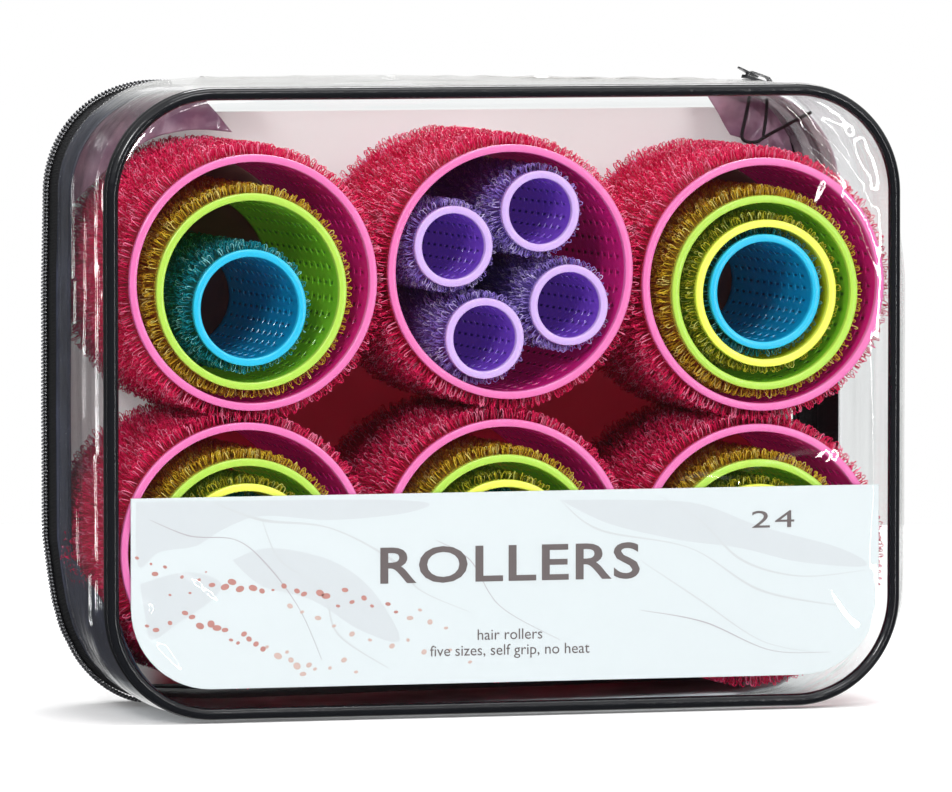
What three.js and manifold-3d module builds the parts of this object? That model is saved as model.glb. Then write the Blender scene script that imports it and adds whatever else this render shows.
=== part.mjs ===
// Set of 24 self-grip hair rollers, nested in six stacks, in a clear zipped case.
// Millimetres. X to the right, Y to the back, Z up. The case stands on its base gusset.
// Every roller lies with its axis along Y. The origin is the bottom centre of the object's box.
import * as THREE from 'three';
import { mergeVertices } from 'three/addons/utils/BufferGeometryUtils.js';
import Module from 'manifold-3d';

const wasm = await Module();
wasm.setup();

// ---------- driving dimensions ----------
const PIPE_HALF_W = 94;        // half width of the piping loop, centre line
const PIPE_Z_LOW = 1.75;       // centre line of the bottom run of piping
const PIPE_Z_HIGH = 143.85;    // centre line of the top run of piping
const PIPE_CORNER = 24;        // corner radius of the piping, centre line
const PIPE_R = 1.45;           // piping cord radius
const CASE_DEPTH = 66;         // front piping plane to back piping plane
const BACK_HALF_W = 92.2;      // the back loop is drawn in: half width, top and corner of its centre line
const BACK_Z_HIGH = 142.1;
const BACK_CORNER = 23;
const VINYL = 0.6;             // clear sheet thickness of the side wall
const WALL_OUT = 1.75;         // side wall outer face beyond the piping centre line
const WALL_BULGE = 2.9;        // the same at the right side, where the wall is pressed out
const WALL_END = 44.2;         // where the clear wall meets the zipper tape
const COIL_MEET = 55.3;        // plane where the two halves of the zipper meet
const ZIP_LEFT = -60;          // where the zipper starts on the top
const ZIP_RIGHT = 66;          // where the zipper ends on the top
const HINGE_Y = 65.4;          // fold line of the back lid
const HINGE_Z = 143.7;
const ROLLER_FRONT = -0.3;     // front rim plane of the rollers
const ROLLER_LEN = 62.5;       // 2.5 inch rollers
const RIM_LEN = 1.6;           // axial length of each end rim
const WALL = 1.75;             // roller wall at the rim
const BARREL_STEP = 0.75;      // rim stands proud of the barrel
const SLEEVE_GAP = 0.3;
const SLEEVE_OUT = 1.1;        // hook sleeve base and pile roots beyond the rim radius

// roller types: rim radius, facets, colour of core, colour of sleeve
const TYPES = {
  pink:   { r: 29.4, n: 28, core: 0xe0459c, sleeve: 0xc41e50 },
  green:  { r: 22.6, n: 24, core: 0x96d23c, sleeve: 0x9a8a1c },
  yellow: { r: 17.1, n: 20, core: 0xe0ea28, sleeve: 0x8f9a20 },
  blue:   { r: 13.4, n: 18, core: 0x1fa6d8, sleeve: 0x0f6f8c },
  purple: { r: 9.35, n: 14, core: 0xa884dc, sleeve: 0x6c4ab0 },
};

// the six stacks: position of each roller axis (X, Z)
const STACKS = {
  tl: [['pink', -60.6, 100.7], ['green', -61.1, 98.6], ['blue', -61.5, 94.9]],
  tm: [['pink', 0.9, 102.4], ['purple_1', -12.9, 108.4], ['purple_2', 8.0, 116.3],
       ['purple_3', -5.4, 87.1], ['purple_4', 14.9, 94.5]],
  tr: [['pink', 62.1, 98.7], ['green', 62.4, 96.8], ['yellow', 62.7, 96.6], ['blue', 62.4, 96.9]],
  bl: [['pink', -62.7, 39.2], ['green', -62.4, 37.8], ['yellow', -62.3, 37.5], ['blue', -62.3, 37.2]],
  bm: [['pink', -0.7, 39.0], ['green', -0.4, 37.6], ['yellow', -0.3, 37.3], ['blue', -0.3, 37.0]],
  br: [['pink', 60.6, 36.8], ['green', 60.9, 35.4], ['yellow', 61.0, 35.1], ['blue', 61.0, 34.8]],
};

const part = new THREE.Group();
const UP = Math.PI / 2;        // turns an X-Y shape into the X-Z plane, extruded towards -Y

function material(color, roughness, metalness = 0, opacity = 1) {
  return new THREE.MeshStandardMaterial({
    color, roughness, metalness, opacity, transparent: opacity < 1,
  });
}

function add(name, geometry, mat, parent = part) {
  const mesh = new THREE.Mesh(geometry, mat);
  mesh.name = name;
  parent.add(mesh);
  return mesh;
}

// ---------- boolean join of closed geometries that are already placed ----------
function toSolid(geometry) {
  const g = geometry.clone();
  for (const a of Object.keys(g.attributes)) if (a !== 'position') g.deleteAttribute(a);
  const m = mergeVertices(g, 1e-4);
  return new wasm.Manifold(new wasm.Mesh({
    numProp: 3,
    vertProperties: new Float32Array(m.attributes.position.array),
    triVerts: new Uint32Array(m.index.array),
  }));
}
function fromSolid(solid) {
  const mesh = solid.getMesh();
  const g = new THREE.BufferGeometry();
  const n = mesh.vertProperties.length / mesh.numProp;
  const pos = new Float32Array(n * 3);
  for (let i = 0; i < n; i++) {
    for (let k = 0; k < 3; k++) pos[i * 3 + k] = mesh.vertProperties[i * mesh.numProp + k];
  }
  g.setAttribute('position', new THREE.BufferAttribute(pos, 3));
  g.setIndex(new THREE.BufferAttribute(new Uint32Array(mesh.triVerts), 1));
  g.computeVertexNormals();
  return g;
}

// ---------- outlines in the X-Z plane ----------
// rounded rectangle as points, anticlockwise from the top left end of the top edge
function outline(hw, zLow, zHigh, r, steps = 6) {
  return outlineOf({ left: hw, right: hw, zLow, zLeft: zHigh, zRight: zHigh, rLeft: r, rRight: r }, steps);
}
// the same with its own half width, top and corner radius on each side
function outlineOf({ left, right, zLow, zLeft, zRight, rLeft, rRight }, steps = 6) {
  const pts = [];
  const corners = [
    [-(left - rLeft), zLeft - rLeft, 90, rLeft], [-(left - rLeft), zLow + rLeft, 180, rLeft],
    [right - rRight, zLow + rRight, 270, rRight], [right - rRight, zRight - rRight, 0, rRight],
  ];
  for (const [cx, cz, a0, r] of corners) {
    for (let i = 0; i <= steps; i++) {
      const a = THREE.MathUtils.degToRad(a0 + (90 * i) / steps);
      pts.push(new THREE.Vector2(cx + r * Math.cos(a), cz + r * Math.sin(a)));
    }
  }
  return pts;
}
function plate(points, yLow, yHigh, holes = []) {
  const shape = new THREE.Shape(points);
  for (const h of holes) shape.holes.push(new THREE.Path(h.slice().reverse()));
  const g = new THREE.ExtrudeGeometry(shape, { depth: yHigh - yLow, bevelEnabled: false });
  g.rotateX(UP);
  g.translate(0, yHigh, 0);
  return g;
}
function pipingLoop(y, hw, zHigh, corner) {
  const c = 0.6;               // flat of the octagonal section
  const b = PIPE_R - c;        // bevel
  const at = (o) => outline(hw + o, PIPE_Z_LOW - o, zHigh + o, corner + o, 7);
  const shape = new THREE.Shape(at(c));
  shape.holes.push(new THREE.Path(at(-c).reverse()));
  const g = new THREE.ExtrudeGeometry(shape, {
    depth: 2 * c, bevelEnabled: true, bevelThickness: b, bevelSize: b, bevelSegments: 1,
  });
  g.rotateX(UP);
  g.translate(0, y + c, 0);
  return g;
}
// strip that follows the case outline from the top left, down, round the base and up to the top right
function openBand(outer, inner, yLow, yHigh) {
  const o = outlineOf(outer);
  const i = outlineOf(inner);
  const pts = [new THREE.Vector2(ZIP_LEFT, outer.zLeft), ...o, new THREE.Vector2(ZIP_RIGHT, outer.zRight),
    new THREE.Vector2(ZIP_RIGHT, inner.zRight), ...i.reverse(), new THREE.Vector2(ZIP_LEFT, inner.zLeft)];
  return plate(pts, yLow, yHigh);
}

// ---------- case: walls, piping, panels ----------
const clear = () => material(0xe8eef2, 0.08, 0, 0.25);
const blackPvc = () => material(0x15171a, 0.3);
const tapeBlack = () => material(0x17181b, 0.8);

add('front_piping', pipingLoop(0, PIPE_HALF_W, PIPE_Z_HIGH, PIPE_CORNER), blackPvc());
add('back_piping', pipingLoop(CASE_DEPTH, BACK_HALF_W, BACK_Z_HIGH, BACK_CORNER), blackPvc());

function wallLine(inset) {
  const r = PIPE_CORNER + WALL_OUT - inset, top = PIPE_Z_HIGH + WALL_OUT - inset;
  return outlineOf({ left: PIPE_HALF_W + WALL_OUT - inset, right: PIPE_HALF_W + WALL_BULGE - inset,
    zLow: inset, zLeft: top, zRight: top, rLeft: r, rRight: r });
}
const wallRing = plate(wallLine(0), 1.75, WALL_END, [wallLine(VINYL)]);
// the top strip runs on to the fold of the lid, falling towards the lower back loop
const wallTop = PIPE_Z_HIGH + WALL_OUT;
const fall = new THREE.Shape([[10, wallTop - VINYL], [WALL_END, wallTop - VINYL], [64, HINGE_Z - 0.4],
  [64, HINGE_Z + 0.2], [WALL_END, wallTop], [10, wallTop]].map(([y, z]) => new THREE.Vector2(y, z)));
const flap = new THREE.ExtrudeGeometry(fall, { depth: ZIP_RIGHT - ZIP_LEFT - 1.2, bevelEnabled: false });
flap.rotateX(UP);              // section in Y and Z, then its length along X
flap.rotateZ(UP);
flap.translate(ZIP_LEFT + 0.6, 0, 0);
add('side_wall', fromSolid(toSolid(wallRing).add(toSolid(flap))), clear());

add('front_panel', plate(outline(92.2, 3.55, 142.05, 22.2), -1.9, -1.4), clear());
add('back_panel', plate(outline(90.4, 3.55, 140.3, 21.2), 66.0, 66.5), clear());
add('back_card', plate(outline(89.6, 5, 138, 20), 63.4, 63.9), material(0xf2f0ee, 0.7));

// front card: square top corners, rounded bottom corners
{
  const s = new THREE.Shape();
  const w = 90, top = 51.7, low = 7.6, r = 19;
  s.moveTo(-w, top);
  s.lineTo(-w, low + r);
  s.absarc(-w + r, low + r, r, Math.PI, 1.5 * Math.PI, false);
  s.lineTo(w - r, low);
  s.absarc(w - r, low + r, r, 1.5 * Math.PI, 2 * Math.PI, false);
  s.lineTo(w, top);
  const g = new THREE.ExtrudeGeometry(s, { depth: 0.5, bevelEnabled: false, curveSegments: 8 });
  g.rotateX(UP);
  g.translate(0, -0.6, 0);
  add('front_card', g, material(0xf2f6f8, 0.45));
}

// ---------- zipper ----------
// the chain stands out at the left side and lies lower at the top right, where the slider rests
const ARC_R = PIPE_CORNER + 1.05;                 // outer face of the coil round the top right corner
function chainLine(inset, zLow) {
  return { left: 96.9 - inset, right: PIPE_HALF_W + 1.05 - inset, zLow,
    zLeft: 145.9 - inset, zRight: PIPE_Z_HIGH + 1.05 - inset, rLeft: 26.9 - inset, rRight: ARC_R - inset };
}
const tapeOuter = chainLine(1.2, 0.35), tapeInner = chainLine(2.0, 1.15);
const coilOuter = chainLine(0, 0.35), coilInner = chainLine(1.8, 1.9);
function chain(name, tapeLow, tapeHigh, coilLow, coilHigh) {
  const tape = toSolid(openBand(tapeOuter, tapeInner, tapeLow, tapeHigh));
  const coil = toSolid(openBand(coilOuter, coilInner, coilLow, coilHigh));
  add(name, fromSolid(tape.add(coil)), tapeBlack());
}
chain('zipper_front', WALL_END + 0.3, COIL_MEET - 0.3, COIL_MEET - 1.9, COIL_MEET - 0.3);
chain('zipper_back', COIL_MEET + 0.3, 64.2, COIL_MEET + 0.3, COIL_MEET + 1.9);

// slider: rides over the coils round the top right corner; built at the top, then turned into place
const ARC_X = PIPE_HALF_W - PIPE_CORNER;          // centre of the corner arc
const ARC_Z = PIPE_Z_HIGH - PIPE_CORNER;
const SLIDER_ANGLE = 19;
const PULL_X = -1.0;                              // pull's pivot under the bridge
const PULL_UP = 1.62;
const PULL_BAR = 0.32;                            // half width of the bar in the bridge
const PULL_LEN = 4.8;
const PULL_TILT = 8;
const slider = new THREE.Group();
slider.position.set(ARC_X, COIL_MEET, ARC_Z);
slider.rotation.y = THREE.MathUtils.degToRad(SLIDER_ANGLE);
part.add(slider);
{
  // body plate, narrower at the tail, with flanges down beside the coils and a raised bridge that holds the pull
  const s = new THREE.Shape([
    [-3.6, -1.9], [0.3, -3.0], [3.4, -3.0], [3.9, -2.3], [3.9, 2.3], [3.4, 3.0], [0.3, 3.0], [-3.6, 1.9],
  ].map(([x, y]) => new THREE.Vector2(x, y)));
  const body = new THREE.ExtrudeGeometry(s, { depth: 0.8, bevelEnabled: false });
  body.translate(0, 0, ARC_R + 0.35);
  const b = new THREE.Shape([[-3.2, 0], [-3.2, 0.9], [-2.2, 1.5], [2.2, 1.5], [3.2, 0.9], [3.2, 0],
    [2.3, 0], [2.3, 0.6], [1.7, 1.0], [-1.7, 1.0], [-2.3, 0.6], [-2.3, 0]].map(([x, y]) => new THREE.Vector2(x, y)));
  const bridge = new THREE.ExtrudeGeometry(b, { depth: 1.5, bevelEnabled: false });
  bridge.rotateX(UP);
  bridge.translate(0, 0.75, ARC_R + 1.05);
  let solid = toSolid(body).add(toSolid(bridge));
  for (const side of [-1, 1]) {
    const flange = new THREE.BoxGeometry(3.0, 0.7, 1.3);
    flange.translate(1.85, side * 2.62, ARC_R - 0.15);
    solid = solid.add(toSolid(flange));
  }
  add('zipper_slider', fromSolid(solid), material(0x101113, 0.35, 0.2), slider);
}
{
  // pull tab: a bar under the bridge, a long eye round the bridge leg, and a rounded tail
  const tab = new THREE.Shape();
  tab.moveTo(PULL_BAR, -1.7);
  tab.lineTo(PULL_BAR, 1.7);
  tab.lineTo(-PULL_LEN + 1.3, 1.3);
  tab.absarc(-PULL_LEN + 1.3, 0, 1.3, UP, 3 * UP, false);
  tab.lineTo(PULL_BAR, -1.7);
  const eye = new THREE.Path([[-PULL_BAR, -1.12], [-2.95, -1.0], [-2.95, 1.0], [-PULL_BAR, 1.12]]
    .map(([x, y]) => new THREE.Vector2(x, y)));
  tab.holes.push(eye);
  const g = new THREE.ExtrudeGeometry(tab, { depth: 0.4, bevelEnabled: false, curveSegments: 6 });
  g.translate(0, 0, -0.2);
  const pull = add('zipper_pull', g, material(0x101113, 0.4), slider);
  pull.position.set(PULL_X, 0, ARC_R + PULL_UP);
  pull.rotation.y = THREE.MathUtils.degToRad(PULL_TILT);   // tail raised off the tape
}

// ---------- tie thread, hanging inside below the slider ----------
const THREAD_R = 0.45;
const THREAD_PATH = [
  [74.8, 50.0, 141.4], [74.5, 49.8, 140.3], [73.9, 49.4, 137.9], [73.0, 48.9, 134.6],
  [72.3, 48.5, 131.8], [72.6, 48.1, 130.5], [74.0, 47.8, 130.0], [75.8, 47.6, 130.1],
  [77.3, 47.4, 131.0], [79.1, 45.4, 132.4], [81.0, 42.6, 133.9], [83.1, 39.4, 135.6],
  [85.4, 36.2, 137.3],
];
{
  const curve = new THREE.CatmullRomCurve3(THREAD_PATH.map((p) => new THREE.Vector3(...p)));
  const sec = new THREE.Shape();
  for (let i = 0; i < 8; i++) {
    const a = (i * Math.PI) / 4;
    sec[i ? 'lineTo' : 'moveTo'](THREAD_R * Math.cos(a), THREAD_R * Math.sin(a));
  }
  add('tie_thread', new THREE.ExtrudeGeometry(sec, { steps: 24, bevelEnabled: false, extrudePath: curve }),
    material(0x111214, 0.6));
}

// ---------- rollers ----------
function ring(profile, n) {
  const pts = profile.map(([r, y]) => new THREE.Vector2(r, y));
  pts.push(pts[0].clone());
  return new THREE.LatheGeometry(pts, n);
}
for (const [stack, rollers] of Object.entries(STACKS)) {
  for (const [label, x, z] of rollers) {
    const t = TYPES[label.split('_')[0]];
    const y0 = ROLLER_FRONT, y1 = ROLLER_FRONT + ROLLER_LEN;
    const rb = t.r - BARREL_STEP;                  // barrel outer radius
    const core = ring([
      [t.r - WALL, y0], [t.r, y0], [t.r, y0 + RIM_LEN], [rb, y0 + RIM_LEN],
      [rb, y1 - RIM_LEN], [t.r, y1 - RIM_LEN], [t.r, y1], [t.r - WALL, y1],
    ], t.n);
    const sleeve = ring([
      [rb + SLEEVE_GAP, y0 + RIM_LEN + 0.3], [t.r + SLEEVE_OUT, y0 + RIM_LEN + 0.3],
      [t.r + SLEEVE_OUT, y1 - RIM_LEN - 0.3], [rb + SLEEVE_GAP, y1 - RIM_LEN - 0.3],
    ], t.n);
    const spot = new THREE.Group();
    spot.position.set(x, 0, z);
    part.add(spot);
    add(`${stack}_${label}_core`, core, material(t.core, 0.25, 0, 0.9), spot);
    add(`${stack}_${label}_hooks`, sleeve, material(t.sleeve, 0.8), spot);
  }
}

// the origin goes to the bottom centre: the front panel's face is the foremost, the back piping the rearmost
const FRONT_FACE = -1.9;
part.position.set(0, -(FRONT_FACE + CASE_DEPTH + PIPE_R) / 2, 0);
part.updateMatrixWorld(true);

export default part;
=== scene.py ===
"""Set of 24 self-grip hair rollers nested in six stacks in a clear zipped case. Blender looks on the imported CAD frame."""
import bpy, math, random
import numpy as np
from mathutils import Vector, Matrix

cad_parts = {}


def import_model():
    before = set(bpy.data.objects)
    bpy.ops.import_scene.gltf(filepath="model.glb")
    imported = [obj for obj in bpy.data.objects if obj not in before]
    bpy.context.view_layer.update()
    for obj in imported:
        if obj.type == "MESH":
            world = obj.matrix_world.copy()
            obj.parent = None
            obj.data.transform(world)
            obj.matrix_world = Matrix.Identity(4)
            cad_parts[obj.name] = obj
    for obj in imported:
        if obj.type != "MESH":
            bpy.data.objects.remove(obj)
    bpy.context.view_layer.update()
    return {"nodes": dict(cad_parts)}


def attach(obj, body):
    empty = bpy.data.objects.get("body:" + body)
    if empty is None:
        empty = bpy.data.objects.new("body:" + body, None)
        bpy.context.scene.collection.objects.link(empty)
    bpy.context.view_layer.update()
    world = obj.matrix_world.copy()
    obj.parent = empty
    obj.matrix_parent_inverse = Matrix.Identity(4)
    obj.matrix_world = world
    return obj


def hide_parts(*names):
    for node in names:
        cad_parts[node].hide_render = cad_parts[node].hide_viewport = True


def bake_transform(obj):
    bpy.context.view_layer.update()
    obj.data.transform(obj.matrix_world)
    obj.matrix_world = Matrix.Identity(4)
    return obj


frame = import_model()
MM = 0.001
CY = 32.775                     # the front piping plane is at Y = -CY
TAU = 2 * math.pi

# ------------------------------------------------------------------ camera
def look(az, el, dist, target, f_px, width_px=952.0, sensor=36.0):
    cam_data = bpy.data.cameras.new("camera")
    cam = bpy.data.objects.new("camera", cam_data)
    bpy.context.scene.collection.objects.link(cam)
    a, e = math.radians(az), math.radians(el)
    back = Vector((math.sin(a) * math.cos(e), -math.cos(a) * math.cos(e), math.sin(e)))
    cam.location = Vector(target) + back * dist
    cam.rotation_mode = "QUATERNION"
    cam.rotation_quaternion = (-back).to_track_quat("-Z", "Y")
    cam_data.sensor_width = sensor
    cam_data.lens = f_px / width_px * sensor
    cam_data.clip_start = 0.05
    cam_data.clip_end = 50
    bpy.context.scene.camera = cam
    return cam

cam = look(-16.379, 3.281, 2.5215, (0.0, (27.0 - CY) * MM, 0.07215), 10818.0)
cam.data.shift_x = (476.0 - 474.32) / 952.0
cam.data.shift_y = (396.28 - 396.0) / 952.0

def px(u, v, y=-1.1):
    """Place on the card's face that the camera sees at frame position u, v (952 by 792)."""
    q = cam.rotation_quaternion
    right, up, back = q @ Vector((1, 0, 0)), q @ Vector((0, 1, 0)), q @ Vector((0, 0, 1))
    f = cam.data.lens / cam.data.sensor_width * 952
    du = (u - 476.0 + cam.data.shift_x * 952) / f
    dv = (v - 396.0 - cam.data.shift_y * 952) / f
    d = -back + right * du - up * dv
    yt = (y - CY) * MM
    k = (yt - cam.location.y) / d.y
    p = cam.location + d * k
    return p.x / MM, p.z / MM

# ------------------------------------------------------------------ small helpers
def srgb(r, g, b):
    def f(c):
        c = c / 255.0
        return c / 12.92 if c <= 0.04045 else ((c + 0.055) / 1.055) ** 2.4
    return (f(r), f(g), f(b), 1.0)

def mesh_from(name, verts, faces, mats=(), mat_index=None, smooth=True):
    """verts: (n,3) array in mm, faces: (m,3) or (m,4) int array."""
    me = bpy.data.meshes.new(name)
    verts = np.asarray(verts, dtype=np.float64) * MM
    faces = np.asarray(faces, dtype=np.int32)
    n, k = faces.shape
    me.vertices.add(len(verts))
    me.vertices.foreach_set("co", verts.astype(np.float32).ravel())
    me.loops.add(n * k)
    me.loops.foreach_set("vertex_index", faces.ravel())
    me.polygons.add(n)
    me.polygons.foreach_set("loop_start", np.arange(0, n * k, k, dtype=np.int32))
    me.polygons.foreach_set("use_smooth", np.full(n, bool(smooth)))
    for m in mats:
        me.materials.append(m)
    if mat_index is not None:
        me.polygons.foreach_set("material_index", np.asarray(mat_index, dtype=np.int32))
    me.update(calc_edges=True)
    me.validate()
    return me

def obj(name, data, body=None, replaces=(), loc=(0, 0, 0), rot_y=0.0):
    o = bpy.data.objects.new(name, data)
    bpy.context.scene.collection.objects.link(o)
    o.location = loc
    o.rotation_euler = (0, rot_y, 0)
    if body:
        bpy.context.view_layer.update()
        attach(o, body)
    if replaces:
        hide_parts(*replaces)
    return o

def grid_faces(nu, nv, close_u=False, close_v=False, offset=0):
    """Quads of a grid whose vertex (i, j) is i * nv + j."""
    iu = np.arange(nu if close_u else nu - 1)
    jv = np.arange(nv if close_v else nv - 1)
    i, j = np.meshgrid(iu, jv, indexing="ij")
    i2, j2 = (i + 1) % nu, (j + 1) % nv
    f = np.stack([i * nv + j, i2 * nv + j, i2 * nv + j2, i * nv + j2], -1).reshape(-1, 4)
    return f + offset

def join_parts(parts):
    """parts: list of (verts, faces, mat). Returns one set of arrays."""
    vs, fs, ms, o = [], [], [], 0
    for v, f, m in parts:
        v = np.asarray(v, float); f = np.asarray(f, int)
        vs.append(v); fs.append(f + o); ms.append(np.full(len(f), m)); o += len(v)
    return np.vstack(vs), np.vstack(fs), np.concatenate(ms)

def smooth_noise(x, seed, scale):
    """Cheap seeded 1-D smooth noise in -1..1 for arrays."""
    rng = np.random.RandomState(seed)
    out = np.zeros_like(x, dtype=float)
    for k in range(5):
        a = rng.uniform(0.4, 1.0) / (k + 1) ** 0.7
        out += a * np.sin(x * scale * (0.6 + 0.8 * k) + rng.uniform(0, TAU))
    return out / 2.2

def catmull(P, per=6):
    P = np.array(P, float); n = len(P); Q = []
    for i in range(n - 1):
        p0, p1, p2, p3 = P[max(i - 1, 0)], P[i], P[i + 1], P[min(i + 2, n - 1)]
        for k in range(per):
            u = k / per
            Q.append(0.5 * ((2 * p1) + (-p0 + p2) * u + (2 * p0 - 5 * p1 + 4 * p2 - p3) * u * u + (-p0 + 3 * p1 - 3 * p2 + p3) * u ** 3))
    Q.append(P[-1])
    return np.array(Q)

# ------------------------------------------------------------------ materials
def new_mat(name):
    m = bpy.data.materials.new(name)
    m.use_nodes = True
    nt = m.node_tree
    nt.nodes.clear()
    out = nt.nodes.new("ShaderNodeOutputMaterial")
    return m, nt, out

def node(nt, kind, **vals):
    n = nt.nodes.new(kind)
    for k, v in vals.items():
        if k.startswith("_"):
            setattr(n, k[1:], v)
        else:
            n.inputs[k.replace("__", " ")].default_value = v
    return n

def coords(nt):
    return nt.nodes.new("ShaderNodeTexCoord").outputs["Object"]

def bump_noise(nt, scale, strength, distance, detail=3.0, chain=None, kind="ShaderNodeTexNoise"):
    t = node(nt, kind, Scale=scale)
    if "Detail" in t.inputs:
        t.inputs["Detail"].default_value = detail
    nt.links.new(coords(nt), t.inputs["Vector"])
    b = node(nt, "ShaderNodeBump", Strength=strength, Distance=distance)
    nt.links.new(t.outputs[0], b.inputs["Height"])
    if chain is not None:
        nt.links.new(chain, b.inputs["Normal"])
    return b.outputs["Normal"]

def plastic(name, col, rough=0.22, sss=0.35, sss_radius=0.003, bump=0.15, spec=0.5, coat=0.0, trans=0.0, painted_glow=0.0):
    m, nt, out = new_mat(name)
    p = node(nt, "ShaderNodeBsdfPrincipled", Roughness=rough)
    p.inputs["Base Color"].default_value = col
    p.inputs["Subsurface Weight"].default_value = sss
    p.inputs["Subsurface Radius"].default_value = (1.0, 0.6, 0.8)
    p.inputs["Subsurface Scale"].default_value = sss_radius
    p.inputs["Specular IOR Level"].default_value = spec
    p.inputs["Coat Weight"].default_value = coat
    p.inputs["Transmission Weight"].default_value = trans
    # painted light: a faint emission in the body colour stands in for the light that the thin see-through plastic
    # carries along its wall
    p.inputs["Emission Color"].default_value = col
    p.inputs["Emission Strength"].default_value = painted_glow
    if bump:
        nt.links.new(bump_noise(nt, 900.0, bump, 0.0002), p.inputs["Normal"])
    nt.links.new(p.outputs[0], out.inputs["Surface"])
    return m

def vinyl(name, tint=(0.985, 0.99, 0.99), rough=0.03, ior=1.5, boost=1.0, bump_scale=40.0, bump=0.25, haze=0.0):
    m, nt, out = new_mat(name)
    tr = node(nt, "ShaderNodeBsdfTransparent")
    tr.inputs["Color"].default_value = (*tint, 1)
    gl = node(nt, "ShaderNodeBsdfGlossy", Roughness=rough)
    gl.inputs["Color"].default_value = (1, 1, 1, 1)
    fr = node(nt, "ShaderNodeLayerWeight", Blend=0.5)
    nrm = bump_noise(nt, bump_scale, bump, 0.004, detail=1.5)
    nrm = bump_noise(nt, bump_scale * 6, bump * 0.25, 0.0008, detail=1.0, chain=nrm)
    nt.links.new(nrm, gl.inputs["Normal"])
    nt.links.new(nrm, fr.inputs["Normal"])
    p5 = node(nt, "ShaderNodeMath", _operation="POWER"); p5.inputs[1].default_value = 5.0
    ma = node(nt, "ShaderNodeMath", _operation="MULTIPLY_ADD"); ma.inputs[1].default_value = 0.96; ma.inputs[2].default_value = 0.04
    nt.links.new(fr.outputs["Facing"], p5.inputs[0]); nt.links.new(p5.outputs[0], ma.inputs[0])
    mix = node(nt, "ShaderNodeMixShader")
    mul = node(nt, "ShaderNodeMath", _operation="MULTIPLY")
    mul.inputs[1].default_value = boost
    mul.use_clamp = True
    nt.links.new(ma.outputs[0], mul.inputs[0])
    nt.links.new(mul.outputs[0], mix.inputs[0])
    nt.links.new(tr.outputs[0], mix.inputs[1])
    nt.links.new(gl.outputs[0], mix.inputs[2])
    nt.links.new(mix.outputs[0], out.inputs["Surface"])
    return m

# rim is a lighter copy of core, painted glow for the light piped out at the rim edges; win is a darker copy, painted
# shade for the open slots
PAL = {
    "pink":   dict(core=srgb(220, 30, 130), rim=srgb(216, 108, 166), win=srgb(158, 12, 84),
                   base=srgb(204, 14, 64), hook=[srgb(244, 34, 98), srgb(222, 22, 82), srgb(252, 128, 166)]),
    "green":  dict(core=srgb(118, 188, 40), rim=srgb(166, 204, 76), win=srgb(66, 128, 16),
                   base=srgb(190, 184, 36), hook=[srgb(234, 200, 48), srgb(202, 160, 24), srgb(242, 226, 120)]),
    "yellow": dict(core=srgb(204, 212, 24), rim=srgb(230, 232, 88), win=srgb(160, 168, 12),
                   base=srgb(190, 188, 30), hook=[srgb(214, 198, 48), srgb(176, 156, 24), srgb(232, 224, 116)]),
    "blue":   dict(core=srgb(0, 140, 186), rim=srgb(36, 176, 212), win=srgb(0, 74, 112),
                   base=srgb(0, 122, 150), hook=[srgb(20, 154, 174), srgb(6, 122, 144), srgb(140, 216, 226)]),
    "purple": dict(core=srgb(120, 72, 190), rim=srgb(190, 160, 216), win=srgb(74, 38, 136),
                   base=srgb(148, 118, 214), hook=[srgb(174, 148, 234), srgb(144, 114, 216), srgb(216, 200, 248)]),
}

def hook_mat(name, col, rough=0.25):
    m, nt, out = new_mat(name)
    p = node(nt, "ShaderNodeBsdfPrincipled", Roughness=rough)
    p.inputs["Base Color"].default_value = col
    p.inputs["Subsurface Weight"].default_value = 0.0
    p.inputs["Specular IOR Level"].default_value = 0.55
    nt.links.new(bump_noise(nt, 2500.0, 0.2, 0.00005), p.inputs["Normal"])
    nt.links.new(p.outputs[0], out.inputs["Surface"])
    return m

def weave_mat(name, col, scale=1400.0, rough=0.75, strength=0.6):
    """Woven tape: crossed waves give the over and under of the threads."""
    m, nt, out = new_mat(name)
    p = node(nt, "ShaderNodeBsdfPrincipled", Roughness=rough)
    p.inputs["Base Color"].default_value = col
    p.inputs["Specular IOR Level"].default_value = 0.35
    c = coords(nt)
    nrm = None
    for direction in ("X", "Y", "Z"):
        w = node(nt, "ShaderNodeTexWave", Scale=scale)
        w.bands_direction = direction
        nt.links.new(c, w.inputs["Vector"])
        b = node(nt, "ShaderNodeBump", Strength=strength, Distance=0.00015)
        nt.links.new(w.outputs[1], b.inputs["Height"])
        if nrm is not None:
            nt.links.new(nrm, b.inputs["Normal"])
        nrm = b.outputs["Normal"]
    nt.links.new(nrm, p.inputs["Normal"])
    nt.links.new(p.outputs[0], out.inputs["Surface"])
    return m

MAT = {}
for k, c in PAL.items():
    # painted light: each core gets a faint emission, strongest for purple
    MAT[k, "core"] = plastic(k + "_core_plastic", c["core"], rough=0.2, sss=0.4, painted_glow={"purple": 0.14, "green": 0.1, "pink": 0.07}.get(k, 0.05))
    # painted light: rim faces take a lighter copy of the body colour
    MAT[k, "rim"] = plastic(k + "_rim_painted_glow", c["rim"], rough=0.25, sss=0.3)
    # painted shade: slot floors are a darker copy of the body colour
    MAT[k, "win"] = plastic(k + "_slot_painted_shade", c["win"], rough=0.35, sss=0.4)
    MAT[k, "base"] = weave_mat(k + "_sleeve_weave", c["base"])
    MAT[k, "hook"] = [hook_mat(f"{k}_hook_{i}", h) for i, h in enumerate(c["hook"])]

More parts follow.
